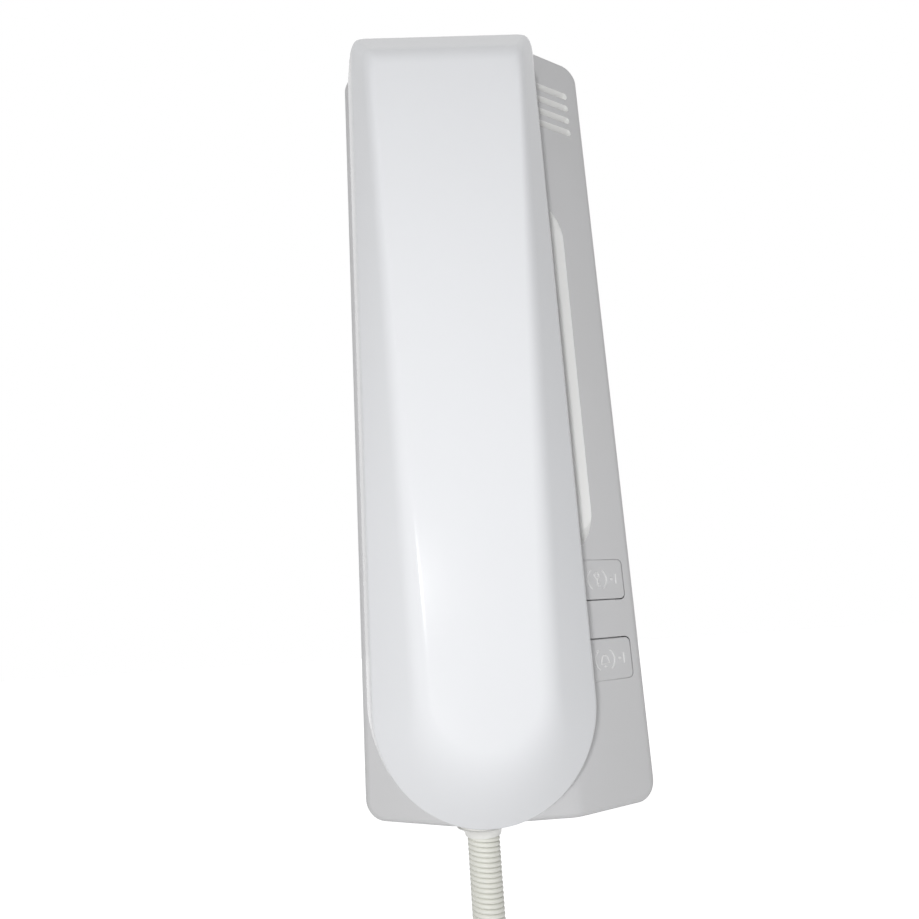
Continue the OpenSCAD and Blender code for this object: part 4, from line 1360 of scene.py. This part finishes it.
    def _is_mouth(self, edge: Edge) -> bool:
        """Says whether an edge is the mouth of a hole in the flat back."""
        flat = all(abs(-v.co.y / MM - self.back_d0) < FLUSH for v in edge.verts)
        return flat and edge.calc_face_angle(0) > math.radians(25)


@dataclass(frozen=True)
class Lamp:
    """A soft square lamp.

    Attributes:
        name: its name.
        at: its place in metres.
        toward: the point that it faces.
        size: its side in metres.
        power: its power in watts.
    """

    name: str
    at: Point
    toward: Point
    size: float
    power: float

    def build(self) -> None:
        """Puts the lamp in the scene."""
        light = bpy.data.lights.new(self.name, "AREA")
        light.shape = "SQUARE"
        light.size = self.size
        light.energy = self.power
        made = link(self.name, light)
        made.location = self.at
        made.rotation_euler = (Vector(self.toward) - Vector(self.at)).to_track_quat("-Z", "Y").to_euler()


@dataclass
class Studio:
    """The camera, the soft light, the pale floor and the white surroundings."""

    camera_at: Point = (-0.016298, -0.207745, -0.06152)
    camera_turn: Point = (102.6047, 3.4926, -1.646)
    lens: float = 27.6662
    sensor: float = 36.0
    nearest: float = 0.01
    floor_z: float = -0.212
    floor_half: float = 3.0
    floor_grey: float = 0.8
    floor_glow: float = 0.9
    floor_rough: float = 0.9
    ambient: float = 0.28
    lamps: tuple[Lamp, ...] = (
        Lamp("flash", (-0.057, -0.35, -0.04), (-0.01, 0, -0.02), 0.014, 0.44),
        Lamp("below", (-0.06, -0.42, -0.155), (-0.01, 0, -0.03), 0.1, 0.15),
        Lamp("left", (-0.7, -0.5, -0.05), (0, 0, 0), 0.5, 1.0),
        Lamp("right", (0.8, -0.5, -0.1), (0, 0, 0), 0.6, 1.3),
    )

    def camera(self) -> None:
        """Places the camera where the photograph was taken."""
        made = link("camera", bpy.data.cameras.new("camera"))
        made.location = self.camera_at
        made.rotation_euler = [math.radians(a) for a in self.camera_turn]
        made.data.lens = self.lens
        made.data.sensor_width = self.sensor
        made.data.clip_start = self.nearest
        bpy.context.scene.camera = made

    @staticmethod
    def _seen(nodes: Wiring) -> Socket:
        """Adds the test for rays that see the surroundings: from the camera, gloss or glass.

        Args:
            nodes: tree of a world or a material.

        Returns:
            Socket of the test.
        """
        rays = nodes.tree.nodes.new("ShaderNodeLightPath").outputs
        gloss = nodes.maths("MAXIMUM", rays["Is Camera Ray"], rays["Is Glossy Ray"])
        return nodes.maths("MAXIMUM", gloss, rays["Is Transmission Ray"])

    def surroundings(self) -> None:
        """Makes the world: soft light from all round, white to the eye."""
        world = bpy.data.worlds.new("studio")
        bpy.context.scene.world = world
        world.use_nodes = True
        nodes, found = Wiring(world.node_tree), world.node_tree.nodes
        soft = nodes.fill(found["Background"], Color=(1, 1, 1, 1), Strength=self.ambient).outputs[0]
        white = nodes.add("ShaderNodeBackground", Color=(1, 1, 1, 1))
        mixed = nodes.add("ShaderNodeMixShader", self._seen(nodes), soft, white)
        nodes.fill(found["World Output"], Surface=mixed)

    def floor(self) -> None:
        """Lays the pale floor, which keeps the shadow."""
        side, grey, glow = self.floor_half, self.floor_grey, self.floor_glow
        mesh = bpy.data.meshes.new("floor")
        corners = ((-side, -side), (side, -side), (side, side), (-side, side))
        mesh.from_pydata([(x, y, self.floor_z) for x, y in corners], [], [(0, 1, 2, 3)])
        floor = link("floor", mesh)
        made = bpy.data.materials.new("pale_floor")
        made.use_nodes = True
        nodes, found = Wiring(made.node_tree), made.node_tree.nodes
        matt = nodes.fill(found["Principled BSDF"], Base_Color=(grey, grey, grey, 1),
                          Roughness=self.floor_rough).outputs[0]
        bright = nodes.add("ShaderNodeEmission", Color=(glow, glow, glow, 1), Strength=self._seen(nodes))
        nodes.fill(found["Material Output"], Surface=nodes.add("ShaderNodeAddShader", matt, bright))
        mesh.materials.append(made)

    def light(self) -> None:
        """Sets up the lamps, the surroundings and the floor."""
        for lamp in self.lamps:
            lamp.build()
        self.surroundings()
        self.floor()
        bpy.context.scene.view_settings.view_transform = "Standard"


INNER_FINISHES: dict[Finish, tuple[str, ...]] = {
    BASE_WHITE: ("wall_plate", "hook_lever"),
    BOARD_GREEN: ("circuit_board",),
    SLEEVE_BLUE: ("capacitors",),
    BLACK: ("audio_chip", "diodes", "hook_switch", "key_switches", "ear_capsule"),
    TERMINAL_GREEN: ("terminal_block",),
    ZINC: ("terminal_screws", "hook_pin", "hook_spring", "cover_screws", "board_screws", "handset_screws"),
    SOUNDER_IVORY: ("sounder",),
    GASKET_BLACK: ("ear_gasket", "mic_boot"),
    DRAWN_CAN: ("mic_capsule",),
}


def dress_inside() -> None:
    """Gives the solids that stay as they are their finishes."""
    for finish, names in INNER_FINISHES.items():
        for name in names:
            dress(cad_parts[name], finish)
            LOG.info("%s: %s", name, finish.name)


def main() -> None:
    """Builds the camera and the cord, the base and its keys, the handset, and the studio."""
    logging.basicConfig(level=logging.INFO, format="%(name)s: %(message)s")
    studio, cord, gland, sign = Studio(), CurlyCord(), Gland(), Sign()
    base = WallBase(cord, gland)
    handset = Handset(base)
    studio.camera()
    cord.build()
    gland.build("handset_collar", "handset_gland", "handset", handset.exit, root=cord.hand_root - handset.low,
                lip_z=9.0, top=10.8)
    gland.build("base_collar", "base_gland", "base", base.exit, root=cord.base_root + base.height / 2,
                lip_z=2.35, top=8.6)
    base.build()
    for node, z, strokes in zip(("door_key", "call_key"), base.key_zs, (sign.door_key(), sign.bell())):
        key = PushKey(base, z)
        key.build(node)
        key.mark(node, strokes)
    handset.build_front()
    handset.build_back()
    dress_inside()
    studio.light()


if __name__ == "__main__":
    main()
